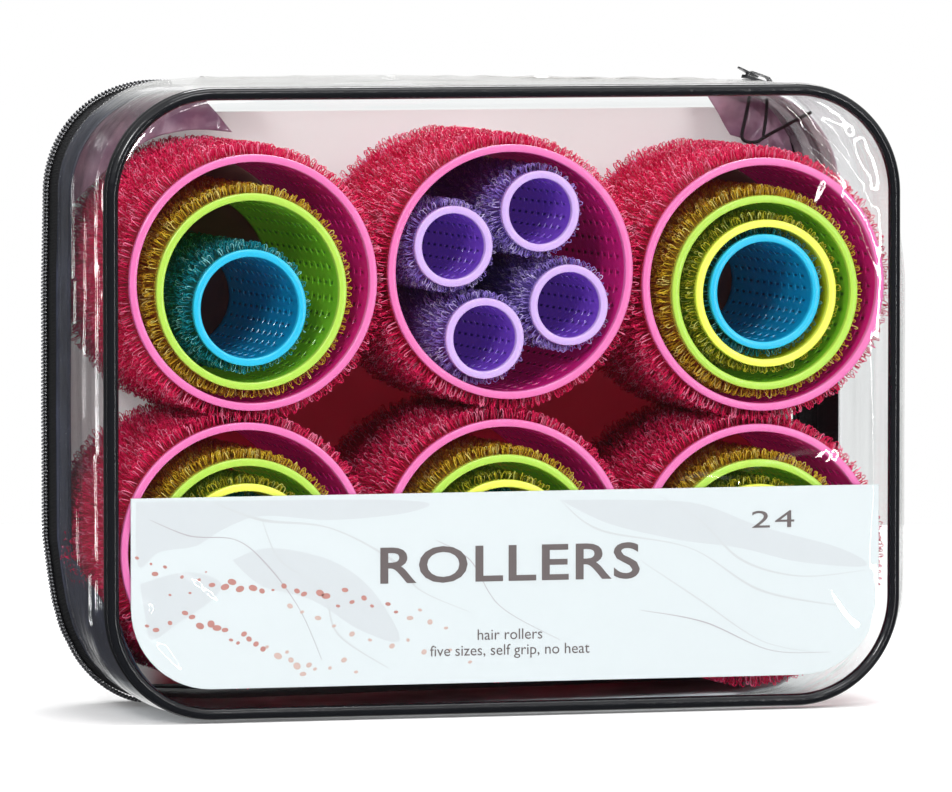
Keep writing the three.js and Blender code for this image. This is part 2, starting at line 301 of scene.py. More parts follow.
# ------------------------------------------------------------------ rollers
R = {"pink": 29.4, "green": 22.6, "yellow": 17.1, "blue": 13.4, "purple": 9.35}
STACKS = {
    "tl": [("pink", -60.6, 100.7), ("green", -61.1, 98.6), ("blue", -61.5, 94.9)],
    "tm": [("pink", 0.9, 102.4), ("purple_1", -12.9, 108.4), ("purple_2", 8.0, 116.3),
           ("purple_3", -5.4, 87.1), ("purple_4", 14.9, 94.5)],
    "tr": [("pink", 62.1, 98.7), ("green", 62.4, 96.8), ("yellow", 62.7, 96.6), ("blue", 62.4, 96.9)],
    "bl": [("pink", -62.7, 39.2), ("green", -62.4, 37.8), ("yellow", -62.3, 37.5), ("blue", -62.3, 37.2)],
    "bm": [("pink", -0.7, 39.0), ("green", -0.4, 37.6), ("yellow", -0.3, 37.3), ("blue", -0.3, 37.0)],
    "br": [("pink", 60.6, 36.8), ("green", 60.9, 35.4), ("yellow", 61.0, 35.1), ("blue", 61.0, 34.8)],
}
Y0 = -0.3 - CY
LEN = 62.5
WALL = 1.75
RIM = 1.6
STEP = 0.75

def core_mesh(kind):
    """Moulded tube: rounded rims at both ends, plain barrel under the sleeve, and rows of short slots inside."""
    r = R[kind]
    ri, rb = r - WALL, r - STEP
    dash = {"pink": 46, "green": 36, "yellow": 30, "blue": 26, "purple": 17}[kind]
    nth = dash * 5
    b = 0.32
    prof = []   # (radius, y, slot flag, material)
    # front rim, rounded
    prof += [(ri + b, 0, 0, 1), (r - b, 0, 0, 1), (r - b * 0.3, b * 0.3, 0, 1), (r, b, 0, 1), (r, RIM - 0.2, 0, 1),
             (r - 0.15, RIM, 0, 0), (rb, RIM + 0.05, 0, 0), (rb, LEN - RIM - 0.05, 0, 1), (r - 0.15, LEN - RIM, 0, 1),
             (r, LEN - RIM + 0.2, 0, 1), (r, LEN - b, 0, 1), (r - b * 0.3, LEN - b * 0.3, 0, 1), (r - b, LEN, 0, 1),
             (ri + b, LEN, 0, 1), (ri + b * 0.3, LEN - b * 0.3, 0, 1), (ri, LEN - b, 0, 1), (ri, LEN - 1.6, 0, 0)]
    rows = 11
    pitch = (LEN - 7.0) / rows
    for k in range(rows):
        y = LEN - 3.6 - k * pitch
        prof += [(ri, y, 0, 0), (ri, y - 0.06, 1, 2), (ri, y - 0.58 * pitch, 1, 0), (ri, y - 0.58 * pitch - 0.06, 0, 0)]
    prof += [(ri, 1.6, 0, 1), (ri, b, 0, 1), (ri + b * 0.3, b * 0.3, 0, 1)]
    prof = np.array(prof, float)
    npr = len(prof)
    th = np.arange(nth) / nth * TAU
    mask = np.where((np.arange(nth) % 5) < 2, 1.0, 0.0)
    rad = prof[None, :, 0] + 0.22 * prof[None, :, 2] * mask[:, None]
    # very slight out-of-round, as moulded
    rad = rad + 0.03 * np.sin(3 * th + 0.7)[:, None]
    x = rad * np.cos(th)[:, None]
    z = rad * np.sin(th)[:, None]
    y = np.broadcast_to(prof[None, :, 1], x.shape) + Y0
    v = np.stack([x, y, z], -1).reshape(-1, 3)
    f = grid_faces(nth, npr, True, True)
    mi = np.tile(prof[:, 3].astype(int), nth)
    # slot floors only where the slot is open all across the quad; they take the darker win colour, painted shade for
    # the dark seen through open slots
    i = np.repeat(np.arange(nth), npr)
    open_ = (mask[i] > 0) & (mask[(i + 1) % nth] > 0)
    mi = np.where((mi == 2) & ~open_, 0, mi)
    me = mesh_from(kind + "_core_mesh", v, f, (MAT[kind, "core"], MAT[kind, "rim"], MAT[kind, "win"]), mi)
    me.set_sharp_from_angle(angle=math.radians(38))
    return me

def sleeve_mesh(kind):
    """Woven base of the hook tape, with a fine comb of thread ends at each edge."""
    r = R[kind]
    ro, rin = r - 0.35, r - STEP + 0.08
    n = int(TAU * r / 0.42) // 2 * 2
    ys = [RIM + 0.2, RIM + 0.28, RIM + 0.9, RIM + 1.1, LEN / 2, LEN - RIM - 1.1, LEN - RIM - 0.9, LEN - RIM - 0.28, LEN - RIM - 0.2]
    up = [0.10, 0.42, 0.42, 0.0, 0.0, 0.0, 0.42, 0.42, 0.10]
    th = np.arange(n) / n * TAU
    comb = np.where(np.arange(n) % 2 == 0, 1.0, 0.25)
    cols = []
    for y, u in zip(ys, up):
        rad = ro + u * comb
        cols.append(np.stack([rad * np.cos(th), np.full(n, y + Y0), rad * np.sin(th)], -1))
    for y in (ys[-1], ys[0]):
        cols.append(np.stack([rin * np.cos(th), np.full(n, y + Y0), rin * np.sin(th)], -1))
    v = np.stack(cols, 1).reshape(-1, 3)
    f = grid_faces(n, len(cols), True, True)
    return mesh_from(kind + "_sleeve_mesh", v, f, (MAT[kind, "base"],))

PILE = {"pink": (1.36, 2.95, 0.12), "green": (1.42, 2.55, 0.11), "yellow": (1.42, 2.2, 0.11),
        "blue": (1.42, 2.2, 0.11), "purple": (1.36, 2.0, 0.105)}

def pile_mesh(kind, seed):
    """Curled nylon hooks: thin three-sided filaments that rise from the tape and curl over."""
    rng = np.random.RandomState(seed)
    pitch, height, thick = PILE[kind]
    r = R[kind] - 0.4
    y_a, y_b = RIM + 0.7, LEN - RIM - 0.7
    ny = int((y_b - y_a) / pitch)
    nt = int(TAU * r / pitch)
    jj, ii = np.meshgrid(np.arange(ny), np.arange(nt))
    jj, ii = jj.ravel(), ii.ravel()
    n = len(jj)
    th = (ii + 0.5 * (jj % 2) + rng.uniform(-0.33, 0.33, n)) / nt * TAU
    y = y_a + (jj + 0.5 + rng.uniform(-0.36, 0.36, n)) * (y_b - y_a) / ny
    h = height * rng.uniform(0.78, 1.08, n)
    er = np.stack([np.cos(th), np.zeros(n), np.sin(th)], -1)
    et = np.stack([-np.sin(th), np.zeros(n), np.cos(th)], -1)
    ea = np.tile(np.array([0.0, 1.0, 0.0]), (n, 1))
    # most hooks curl round the roller, one way or the other
    side = np.where(rng.uniform(size=n) < 0.5, 1.0, -1.0)
    phi = rng.normal(0, 0.75, n)
    w = side[:, None] * (np.cos(phi)[:, None] * et + np.sin(phi)[:, None] * ea)
    lean = rng.normal(0, 0.16, n)[:, None] * et + rng.normal(0, 0.16, n)[:, None] * ea
    curl = rng.uniform(0.55, 0.95, n)
    drop = rng.uniform(0.35, 0.75, n)
    base = er * r + ea * (y + Y0)[:, None]
    H = h[:, None]
    C = curl[:, None]
    D = drop[:, None]
    pts = [base,
           base + er * H * 0.42 + lean * H * 0.35 - w * 0.10,
           base + er * (H - 0.42) + lean * H * 0.8 - w * 0.05,
           base + er * H + lean * H + w * C * 0.36,
           base + er * (H - 0.18) + lean * H + w * C * 0.86,
           base + er * (H - 0.30 - D) + lean * H + w * C * 0.92]
    P = np.stack(pts, 1)                      # n, 6, 3
    T = np.gradient(P, axis=1)
    T /= np.linalg.norm(T, axis=2, keepdims=True)
    ref = np.cross(er, w)                     # across the plane of the hook
    ref /= np.linalg.norm(ref, axis=1, keepdims=True)
    ref = np.repeat(ref[:, None, :], 6, 1)
    B = np.cross(T, ref)
    B /= np.linalg.norm(B, axis=2, keepdims=True)
    A = np.cross(B, T)
    rad = thick * np.array([1.15, 1.0, 1.0, 1.0, 0.95, 0.7])
    ring = []
    for k in range(3):
        a = TAU * k / 3 + 0.5
        ring.append(P + (A * math.cos(a) + B * math.sin(a)) * rad[None, :, None])
    V = np.stack(ring, 2)                     # n, 6, 3 sides, 3
    verts = V.reshape(-1, 3)
    s, k = np.meshgrid(np.arange(5), np.arange(3), indexing="ij")
    s, k = s.ravel(), k.ravel()
    k2 = (k + 1) % 3
    a, b_, c, d = s * 3 + k, s * 3 + k2, (s + 1) * 3 + k2, (s + 1) * 3 + k
    tri = np.concatenate([np.stack([a, b_, c], -1), np.stack([a, c, d], -1),
                          [[0, 2, 1]], [[15, 16, 17]]])
    F = (tri[None] + (np.arange(n) * 18)[:, None, None]).reshape(-1, 3)
    pick = rng.choice(3, n, p=[0.44, 0.36, 0.20])
    mi = np.repeat(pick, len(tri))
    return mesh_from(kind + "_pile_mesh", verts, F, MAT[kind, "hook"], mi)

core_me = {k: core_mesh(k) for k in R}
sleeve_me = {k: sleeve_mesh(k) for k in R}
pile_me = {k: pile_mesh(k, 11 + i) for i, k in enumerate(R)}
rng0 = random.Random(5)
for st, rollers in STACKS.items():
    for label, x, z in rollers:
        kind = label.split("_")[0]
        body = f"roller_{st}_{label}"
        rot = rng0.uniform(0, TAU)
        loc = (x * MM, 0, z * MM)
        obj(f"{st}_{label}_tube", core_me[kind], body, [f"{st}_{label}_core"], loc, rot)
        obj(f"{st}_{label}_tape", sleeve_me[kind], body, [f"{st}_{label}_hooks"], loc, rot)
        obj(f"{st}_{label}_pile", pile_me[kind], body, (), loc, rot)

# ------------------------------------------------------------------ case outline
HW, ZL, ZH, RC = 94.0, 1.75, 143.85, 24.0
FRONT = (HW, ZL, ZH, RC)
BACK = (92.2, 1.75, 142.1, 23.0)           # the back loop is drawn in a little

def loop(o, n=320, line_=FRONT):
    """Points of the case outline at offset o from the piping's centre line, evenly spaced, anticlockwise seen from the front,
    starting at the middle of the top and going left. Returns x, z, outward normal x, outward normal z and the length along it."""
    hw, zl, zh, r = line_[0] + o, line_[1] - o, line_[2] + o, line_[3] + o
    segs = []
    def line(a, b, nn):
        segs.append(("l", math.dist(a, b), a, b, nn))
    def arc(c, a0):
        segs.append(("a", r * math.pi / 2, c, a0, None))
    line((0, zh), (-(hw - r), zh), (0, 1)); arc((-(hw - r), zh - r), 90)
    line((-hw, zh - r), (-hw, zl + r), (-1, 0)); arc((-(hw - r), zl + r), 180)
    line((-(hw - r), zl), (hw - r, zl), (0, -1)); arc((hw - r, zl + r), 270)
    line((hw, zl + r), (hw, zh - r), (1, 0)); arc((hw - r, zh - r), 0)
    line((hw - r, zh), (0, zh), (0, 1))
    total = sum(s[1] for s in segs)
    t = np.arange(n) / n * total
    out = np.zeros((n, 4))
    acc = 0.0
    for kind, L, p, q, nn in segs:
        m = (t >= acc - 1e-9) & (t < acc + L - 1e-9)
        u = (t[m] - acc) / L
        if kind == "l":
            out[m, 0] = p[0] + (q[0] - p[0]) * u
            out[m, 1] = p[1] + (q[1] - p[1]) * u
            out[m, 2], out[m, 3] = nn
        else:
            a = np.radians(q + 90 * u)
            out[m, 0] = p[0] + r * np.cos(a); out[m, 1] = p[1] + r * np.sin(a)
            out[m, 2] = np.cos(a); out[m, 3] = np.sin(a)
        acc += L
    return out, t, total

def draw_in(t):
    """The back half of the case leans inwards at its lower left corner, as a soft bag does on its base."""
    return np.interp(t, [0, 150, 172, 188, 197, 206, 214, 222, 234, 252, 620], [0, 0, 0, 0.1, 1.3, 2.8, 3.1, 2.3, 0.9, 0, 0])

def sweep_loop(o_fn, y_fn, section, n=480, line_=FRONT):
    """Sweeps a closed section (list of (offset, y)) round the outline. o_fn and y_fn add a drift along the loop, by length."""
    base, t, total = loop(0.0, n, line_)
    rows = []
    for (so, sy) in section:
        o = so + o_fn(t)
        x = base[:, 0] + base[:, 2] * o
        z = base[:, 1] + base[:, 3] * o
        rows.append(np.stack([x, np.full(n, sy - CY) + y_fn(t), z], -1))
    v = np.stack(rows, 1)
    return v, t, total

def circle(r, n, o=0.0, y=0.0, a0=0.0):
    return [(o + r * math.cos(a0 + TAU * k / n), y + r * math.sin(a0 + TAU * k / n)) for k in range(n)]

# ------------------------------------------------------------------ piping
def pvc_black(name, rough=0.16):
    m, nt, out = new_mat(name)
    p = node(nt, "ShaderNodeBsdfPrincipled", Roughness=rough)
    p.inputs["Base Color"].default_value = srgb(20, 21, 24)
    p.inputs["Specular IOR Level"].default_value = 0.36
    nrm = bump_noise(nt, 260.0, 0.25, 0.0006, detail=2.0)
    nrm = bump_noise(nt, 2200.0, 0.12, 0.0001, chain=nrm)
    nt.links.new(nrm, p.inputs["Normal"])
    nt.links.new(p.outputs[0], out.inputs["Surface"])
    return m

M_PIPE = pvc_black("piping_pvc")
M_WELT = pvc_black("piping_welt", 0.4)

def piping(name, y, node_name, body, seed, facing, line_=FRONT):
    """Round cord under a thin black skin, with the flat sewn welt beside it."""
    n = 520
    def drift_o(t):
        return 0.06 * smooth_noise(t, seed, 0.055) - (draw_in(t) if facing < 0 else 0)
    def drift_y(t):
        return 0.05 * smooth_noise(t, seed + 3, 0.045)
    sec = circle(1.42, 14)
    v, t, total = sweep_loop(drift_o, drift_y, sec, n, line_)
    v[:, :, 1] += y
    f = grid_faces(n, len(sec), True, True)
    # welt: a low flat rib between the cord and the clear wall
    s2 = [(0.35, 0.9), (1.25, 1.0), (1.55, 1.6), (1.45, 2.9), (1.05, 3.1), (0.35, 2.9)]
    s2 = [(o, yy * facing) for o, yy in s2]
    if facing < 0:
        s2 = s2[::-1]
    v2, _, _ = sweep_loop(drift_o, drift_y, s2, n, line_)
    v2[:, :, 1] += y
    v2[:, :, 2] = np.maximum(v2[:, :, 2], 0.12)
    f2 = grid_faces(n, len(s2), True, True)
    V, F, M = join_parts([(v.reshape(-1, 3), f, 0), (v2.reshape(-1, 3), f2, 1)])
    me = mesh_from(name, V, F, (M_PIPE, M_WELT), M)
    return obj(name, me, body, [node_name])

piping("piping_front", 0.0, "front_piping", "case", 3, 1)
piping("piping_back", 66.0, "back_piping", "back_lid", 8, -1, BACK)

# ------------------------------------------------------------------ clear walls
M_WALL = vinyl("clear_wall", bump_scale=26.0, bump=0.4, boost=0.9)
M_FRONT = vinyl("clear_front", bump_scale=22.0, bump=0.16, boost=0.5)
M_BACK = vinyl("clear_back", bump_scale=22.0, bump=0.35, boost=0.6)

def wall_band(name, y_list, off_list, body, replaces, seed, thick=0.4, t_from=None, t_to=None, wave=0.7, keep_floor=True, mat=None):
    """A closed slab that follows the outline between the stations y_list, pushed out by off_list plus soft waves."""
    n = 640
    base, t, total = loop(0.0, n)
    ys = np.array(y_list, float)
    offs = np.array(off_list, float)
    k = len(ys)
    yy = np.linspace(ys[0], ys[-1], 64)
    oo = np.interp(yy, ys, offs)
    T, Y = np.meshgrid(t, yy, indexing="ij")
    edge = np.sin(np.pi * (yy - yy[0]) / (yy[-1] - yy[0]))[None, :]
    ph = TAU * T / total
    w = 0.30 * np.sin(5 * ph + 0.05 * Y + 1.0) + 0.22 * np.sin(9 * ph + 0.9 - 0.04 * Y)
    # long soft ridges that run with the wall
    w = w + (0.24 * np.sin(0.62 * Y + 1.1 * np.sin(3 * ph + 0.4) + 0.5) * (0.6 + 0.4 * np.sin(4 * ph + 2.0))
             + 0.13 * np.sin(1.15 * Y + 1.6 * np.sin(5 * ph + 1.3)) * (0.6 + 0.4 * np.sin(7 * ph))
             + 0.06 * np.sin(2.1 * Y + 2.0 * np.sin(7 * ph + 0.2)))
    O = oo[None, :] + wave * edge * w * 0.5
    # the top is pushed up at the left, and sags towards the slider
    up = np.interp(T, [0, 20, 62, 84, total - 60, total - 25, total], [1.0, 1.3, 1.1, 0, 0, 0.3, 1.0])
    O = O + up * np.interp(yy, [0.9, 8, 24, 38, 46.5], [0, 0.1, 0.8, 1.25, 1.35])[None, :]
    # the right side is pressed out
    win = np.clip((T - 388) / 34, 0, 1) * np.clip((522 - T) / 34, 0, 1)
    win = win * win * (3 - 2 * win)
    O = O + win * np.interp(yy, [0.9, 2.5, 6, 11, 20, 35, 46.5], [0, 1.7, 3.6, 4.2, 3.6, 2.3, 1.2])[None, :]
    O = O - draw_in(T) * np.interp(yy, [18, 34, 46.5], [0, 0.6, 0.95])[None, :]
    def place(o):
        x = base[:, 0][:, None] + base[:, 2][:, None] * o
        z = base[:, 1][:, None] + base[:, 3][:, None] * o
        return np.stack([x, Y - CY, z], -1)
    outer = place(O)
    inner = place(O - thick)
    if keep_floor:
        outer[:, :, 2] = np.maximum(outer[:, :, 2], 0.04)
        inner[:, :, 2] = np.maximum(inner[:, :, 2], 0.04 + thick)
    prof = np.concatenate([outer, inner[:, ::-1]], 1)
    if t_from is None:
        f = grid_faces(n, prof.shape[1], True, True)
        v = prof.reshape(-1, 3)
    else:
        m = (t >= t_from) & (t <= t_to)
        prof = prof[m]
        f = grid_faces(len(prof), prof.shape[1], False, True)
        v = prof.reshape(-1, 3)
        nb = prof.shape[1]; h = nb // 2
        caps = []
        for e, flip in ((0, False), ((len(prof) - 1) * nb, True)):
            for q in range(h - 1):
                quad = [e + q, e + q + 1, e + nb - 2 - q, e + nb - 1 - q]
                caps.append(quad if flip else quad[::-1])
        f = np.vstack([f, np.array(caps)])
    me = mesh_from(name, v, f, (mat or M_WALL,))
    return obj(name, me, body, replaces)

wall_band("wall_clear", [0.9, 3, 12, 30, 44, 46.5], [0.75, 1.05, 1.3, 1.3, 1.25, 1.15], "case", ["side_wall"], 4)

def panel(name, body, replaces, y_mid, y_edge, sign, seed, mat, amp=0.35, line_=FRONT, folds=()):
    """A soft clear sheet held by its piping all round: pressed out in the middle, drawn back at the edge, with folds at the corners."""
    n, ns = (640, 150) if folds else (320, 60)
    HW, ZL, ZH, RC = line_
    base, t, total = loop(-0.6, n, line_)
    if sign > 0:
        base = base.copy()
        base[:, 0] -= base[:, 2] * draw_in(t); base[:, 1] -= base[:, 3] * draw_in(t)
    s = np.linspace(0.0, 1.0, ns) ** 0.8
    s = s[1:]
    cx, cz = 0.0, (ZL + ZH) / 2
    X = cx + (base[:, 0][:, None] - cx) * s[None]
    Z = cz + (base[:, 1][:, None] - cz) * s[None]
    # distance from the edge, in mm, along the shorter way
    D = np.minimum(np.minimum(HW - np.abs(X), ZH - Z), Z - ZL)
    cxr, czr = HW - RC, None
    for sx in (-1, 1):
        for cz0 in (ZL + RC, ZH - RC):
            dx, dz = (X - sx * cxr) * sx, (Z - cz0) * (1 if cz0 > cz else -1)
            m = (dx > 0) & (dz > 0)
            D = np.where(m, RC - np.hypot(dx, dz), D)
    D = np.maximum(D, 0)
    k = 1 - np.exp(-D / 1.1)
    Yb = y_edge + (y_mid - y_edge) * k
    rng = np.random.RandomState(seed)
    W = np.zeros_like(X)
    for _ in range(9):                      # long shallow waves
        a = rng.uniform(0, TAU); f = rng.uniform(0.03, 0.12)
        W += rng.uniform(0.2, 0.6) * np.sin((X * math.cos(a) + Z * math.sin(a)) * f * 2 + rng.uniform(0, TAU))
    W *= amp / 2.2 * np.clip(D / 10, 0, 1)
    # folds that run out of the corners
    for sx, zc in ((-1, ZH - RC), (1, ZH - RC), (-1, ZL + RC), (1, ZL + RC)):
        for q in range(5):
            ang = math.radians(rng.uniform(15, 75))
            ox, oz = sx * (HW - RC * 0.5 + rng.uniform(-6, 4)), zc + (1 if zc > cz else -1) * rng.uniform(2, 16)
            dx, dz = -sx * math.cos(ang), -(1 if zc > cz else -1) * math.sin(ang)
            u = (X - ox) * dx + (Z - oz) * dz
            p = -(X - ox) * dz + (Z - oz) * dx
            L = rng.uniform(10, 26); wd = rng.uniform(0.8, 2.2)
            W += (0.3 if folds else 1.0) * rng.choice([-1, 1]) * rng.uniform(0.15, 0.4) * np.exp(-(p / wd) ** 2) * np.exp(-((u - L * 0.3) / L) ** 2) * np.clip(D / 3, 0, 1)
    # single creases: a line of points, its half width and its height
    for line, wd, hgt in folds:
        wd, hgt = 0.75 + 0.6 * wd, hgt * 1.35
        P = np.array([px(u, v) for u, v in line])
        best = np.full(X.shape, 1e9); along = np.zeros(X.shape)
        m = len(P) - 1
        for q in range(m):
            a0, b0 = P[q], P[q + 1]
            d0 = b0 - a0; L2 = float((d0 ** 2).sum())
            t0 = np.clip(((X - a0[0]) * d0[0] + (Z - a0[1]) * d0[1]) / L2, 0, 1)
            dist = np.hypot(X - a0[0] - t0 * d0[0], Z - a0[1] - t0 * d0[1])
            take = dist < best
            best = np.where(take, dist, best); along = np.where(take, (q + t0) / m, along)
        W += hgt * np.exp(-(best / wd) ** 2) * np.sqrt(np.clip(np.sin(np.pi * np.clip(along, 0.02, 0.98)), 0, 1)) * np.clip(D / 1.5, 0, 1)
    # the sheet can't go back through what it presses on
    W = np.maximum(W, -0.05)
    Y = Yb + sign * W
    th = 0.3
    def surf(Yv):
        return np.stack([X, Yv - CY, Z], -1)
    a, b = surf(Y), surf(Y - sign * th)
    m = ns - 1
    V = np.concatenate([a.reshape(-1, 3), b.reshape(-1, 3),
                        [[cx, y_mid - CY + sign * 0.0, cz], [cx, y_mid - CY - sign * th, cz]]])
    na = n * m
    fa = grid_faces(n, m, True, False)
    fb = grid_faces(n, m, True, False, na)[:, ::-1]
    i = np.arange(n); i2 = (i + 1) % n
    rim = np.stack([i * m + m - 1, i2 * m + m - 1, na + i2 * m + m - 1, na + i * m + m - 1], -1)[:, ::-1]
    quads = np.vstack([fa, fb, rim])
    ca = np.stack([np.full(n, 2 * na), i * m, i2 * m, i2 * m], -1)[:, ::-1]
    cb = np.stack([np.full(n, 2 * na + 1), na + i * m, na + i2 * m, na + i2 * m], -1)
    me = bpy.data.meshes.new(name)
    faces = [tuple(q) for q in quads.tolist()] + [tuple(q[1:] if q[0] == q[1] else q[:3]) for q in
             np.stack([np.full(n, 2 * na), i2 * m, i * m], -1).tolist()] + \
            [tuple(q) for q in np.stack([np.full(n, 2 * na + 1), na + i * m, na + i2 * m], -1).tolist()]
    me.from_pydata((V * MM).tolist(), [], faces)
    me.materials.append(mat)
    me.polygons.foreach_set("use_smooth", np.full(len(me.polygons), True))
    me.update()
    import bmesh
    bm = bmesh.new(); bm.from_mesh(me)
    bmesh.ops.recalc_face_normals(bm, faces=bm.faces)
    bm.to_mesh(me); bm.free()
    return obj(name, me, body, replaces)

FOLDS = [
    ([(672, 486), (700, 478), (742, 484)], 0.6, 0.28), ([(736, 478), (770, 466), (800, 457), (830, 455)], 0.7, 0.32),
    ([(161, 566), (190, 584), (224, 611)], 0.9, 0.36), ([(137, 602), (151, 612)], 0.8, 0.3),
    ([(132, 632), (156, 648), (184, 677)], 0.8, 0.34), ([(142, 649), (162, 668)], 0.5, 0.2), ([(194, 662), (213, 681)], 0.9, 0.24),
    ([(840, 672), (862, 652), (872, 622)], 0.7, 0.34), ([(806, 690), (842, 676), (864, 654)], 0.6, 0.3),
    ([(780, 111), (818, 143), (863, 181)], 0.5, 0.42), ([(795, 137), (816, 160), (840, 184)], 0.45, 0.3),
    ([(856, 193), (875, 201)], 0.45, 0.3), ([(838, 196), (858, 226), (872, 262)], 0.5, 0.28), ([(846, 222), (862, 254)], 0.4, 0.22),
    ([(812, 118), (832, 130), (846, 150), (856, 176)], 0.6, 0.2), ([(772, 98), (792, 112), (812, 128)], 0.5, 0.3),
    ([(164, 119), (178, 113), (194, 108)], 0.45, 0.26), ([(204, 130), (221, 125)], 0.4, 0.24),
    ([(138, 137), (146, 131), (150, 138), (143, 145)], 0.45, 0.24),
    ([(228, 99), (330, 101), (470, 104), (600, 103)], 0.7, 0.12),
    ([(868, 560), (872, 500), (872, 420), (869, 340)], 0.6, 0.2), ([(124, 232), (122, 300), (122, 366)], 0.5, 0.12),
]
panel("panel_front_clear", "case", ["front_panel"], -1.55, -0.1, -1, 21, M_FRONT, amp=0.3, folds=FOLDS)
panel("panel_back_clear", "back_lid", ["back_panel"], 66.6, 66.1, 1, 22, M_BACK, line_=BACK)

# ------------------------------------------------------------------ zipper
M_TAPE = weave_mat("zipper_tape_weave", srgb(24, 25, 28), scale=900.0, rough=0.7, strength=0.9)
def tape_painted_film_sheen(name, dark, light, rough=0.22, clear=0.0, scale=140.0):
    """Tape seen under a layer of clear film: glossy, with soft wrinkles; the lighter mottled tones over the black tape
    are a painted reflection of that film.
    """
    m, nt, out = new_mat(name)
    p = node(nt, "ShaderNodeBsdfPrincipled", Roughness=rough)
    p.inputs["Specular IOR Level"].default_value = 0.6
    n1 = node(nt, "ShaderNodeTexNoise", Scale=scale, Detail=3.0)
    nt.links.new(coords(nt), n1.inputs["Vector"])
    r1 = nt.nodes.new("ShaderNodeValToRGB")
    r1.color_ramp.elements[0].position = 0.35; r1.color_ramp.elements[0].color = dark
    r1.color_ramp.elements[1].position = 0.7; r1.color_ramp.elements[1].color = light
    nt.links.new(n1.outputs[0], r1.inputs[0])
    nt.links.new(r1.outputs[0], p.inputs["Base Color"])
    nrm = bump_noise(nt, scale * 1.1, 0.5, 0.001, detail=2.0)
    nt.links.new(nrm, p.inputs["Normal"])
    if clear:
        tr = nt.nodes.new("ShaderNodeBsdfTransparent")
        ms = node(nt, "ShaderNodeMixShader"); ms.inputs[0].default_value = 1 - clear
        nt.links.new(tr.outputs[0], ms.inputs[1]); nt.links.new(p.outputs[0], ms.inputs[2])
        nt.links.new(ms.outputs[0], out.inputs["Surface"])
    else:
        nt.links.new(p.outputs[0], out.inputs["Surface"])
    return m
# painted reflection: these tones stand in for the clear film's reflection over the black tape; purple-grey at the upper
# right, dark at the top left end, blue-grey down the left side, light grey along the base
M_TAPE_FILM = tape_painted_film_sheen("zipper_tape_painted_film_sheen", srgb(128, 104, 122), srgb(206, 190, 198), clear=0.35)
M_TAPE_END = tape_painted_film_sheen("zipper_tape_end_painted_sheen", srgb(28, 26, 30), srgb(84, 74, 82))
M_TAPE_SIDE = tape_painted_film_sheen("zipper_tape_side_painted_sheen", srgb(32, 36, 50), srgb(66, 70, 88), rough=0.3, scale=90.0)
M_TAPE_BASE = tape_painted_film_sheen("zipper_tape_base_painted_sheen", srgb(120, 128, 136), srgb(204, 210, 214), rough=0.42, scale=50.0)

def coil_mat():
    m, nt, out = new_mat("zipper_coil_nylon")
    p = node(nt, "ShaderNodeBsdfPrincipled", Roughness=0.22)
    p.inputs["Base Color"].default_value = srgb(30, 31, 35)
    p.inputs["Specular IOR Level"].default_value = 1.0
    p.inputs["Coat Weight"].default_value = 1.0
    p.inputs["Coat Roughness"].default_value = 0.12
    nt.links.new(bump_noise(nt, 3000.0, 0.15, 0.00005), p.inputs["Normal"])
    nt.links.new(p.outputs[0], out.inputs["Surface"])
    return m
M_COIL = coil_mat()
# painted highlight: a pale grey for the outer cap of each coil stitch, standing in for the glint on each tooth
M_COIL_GLINT = plastic("zipper_coil_painted_glints", srgb(150, 151, 156), rough=0.2, sss=0.0, spec=0.8)

BASE, BT, BTOTAL = loop(0.0, 4000)
def at_length(s):
    """Position and outward normal on the piping centre line at length s from the middle of the top."""
    s = np.mod(s, BTOTAL)
    x = np.interp(s, np.append(BT, BTOTAL), np.append(BASE[:, 0], BASE[0, 0]))
    z = np.interp(s, np.append(BT, BTOTAL), np.append(BASE[:, 1], BASE[0, 1]))
    nx = np.interp(s, np.append(BT, BTOTAL), np.append(BASE[:, 2], BASE[0, 2]))
    nz = np.interp(s, np.append(BT, BTOTAL), np.append(BASE[:, 3], BASE[0, 3]))
    L = np.hypot(nx, nz)
    return x, z, nx / L, nz / L

ZIP_S0, ZIP_S1 = 66.0, BTOTAL - 71.0       # coil: from the top left corner round to the top right
TAPE_S0, TAPE_S1 = 50.0, BTOTAL - 64.0

def chain_line(s_):
    """How far the chain lies from its line at the left side: lower at the top left end, and lower still all up the right side."""
    return np.interp(s_, [0, 75, 130, BTOTAL / 2 - 60, BTOTAL / 2 + 60, BTOTAL], [-0.85, -0.85, 0, 0, -1.85, -1.85]) - draw_in(s_)

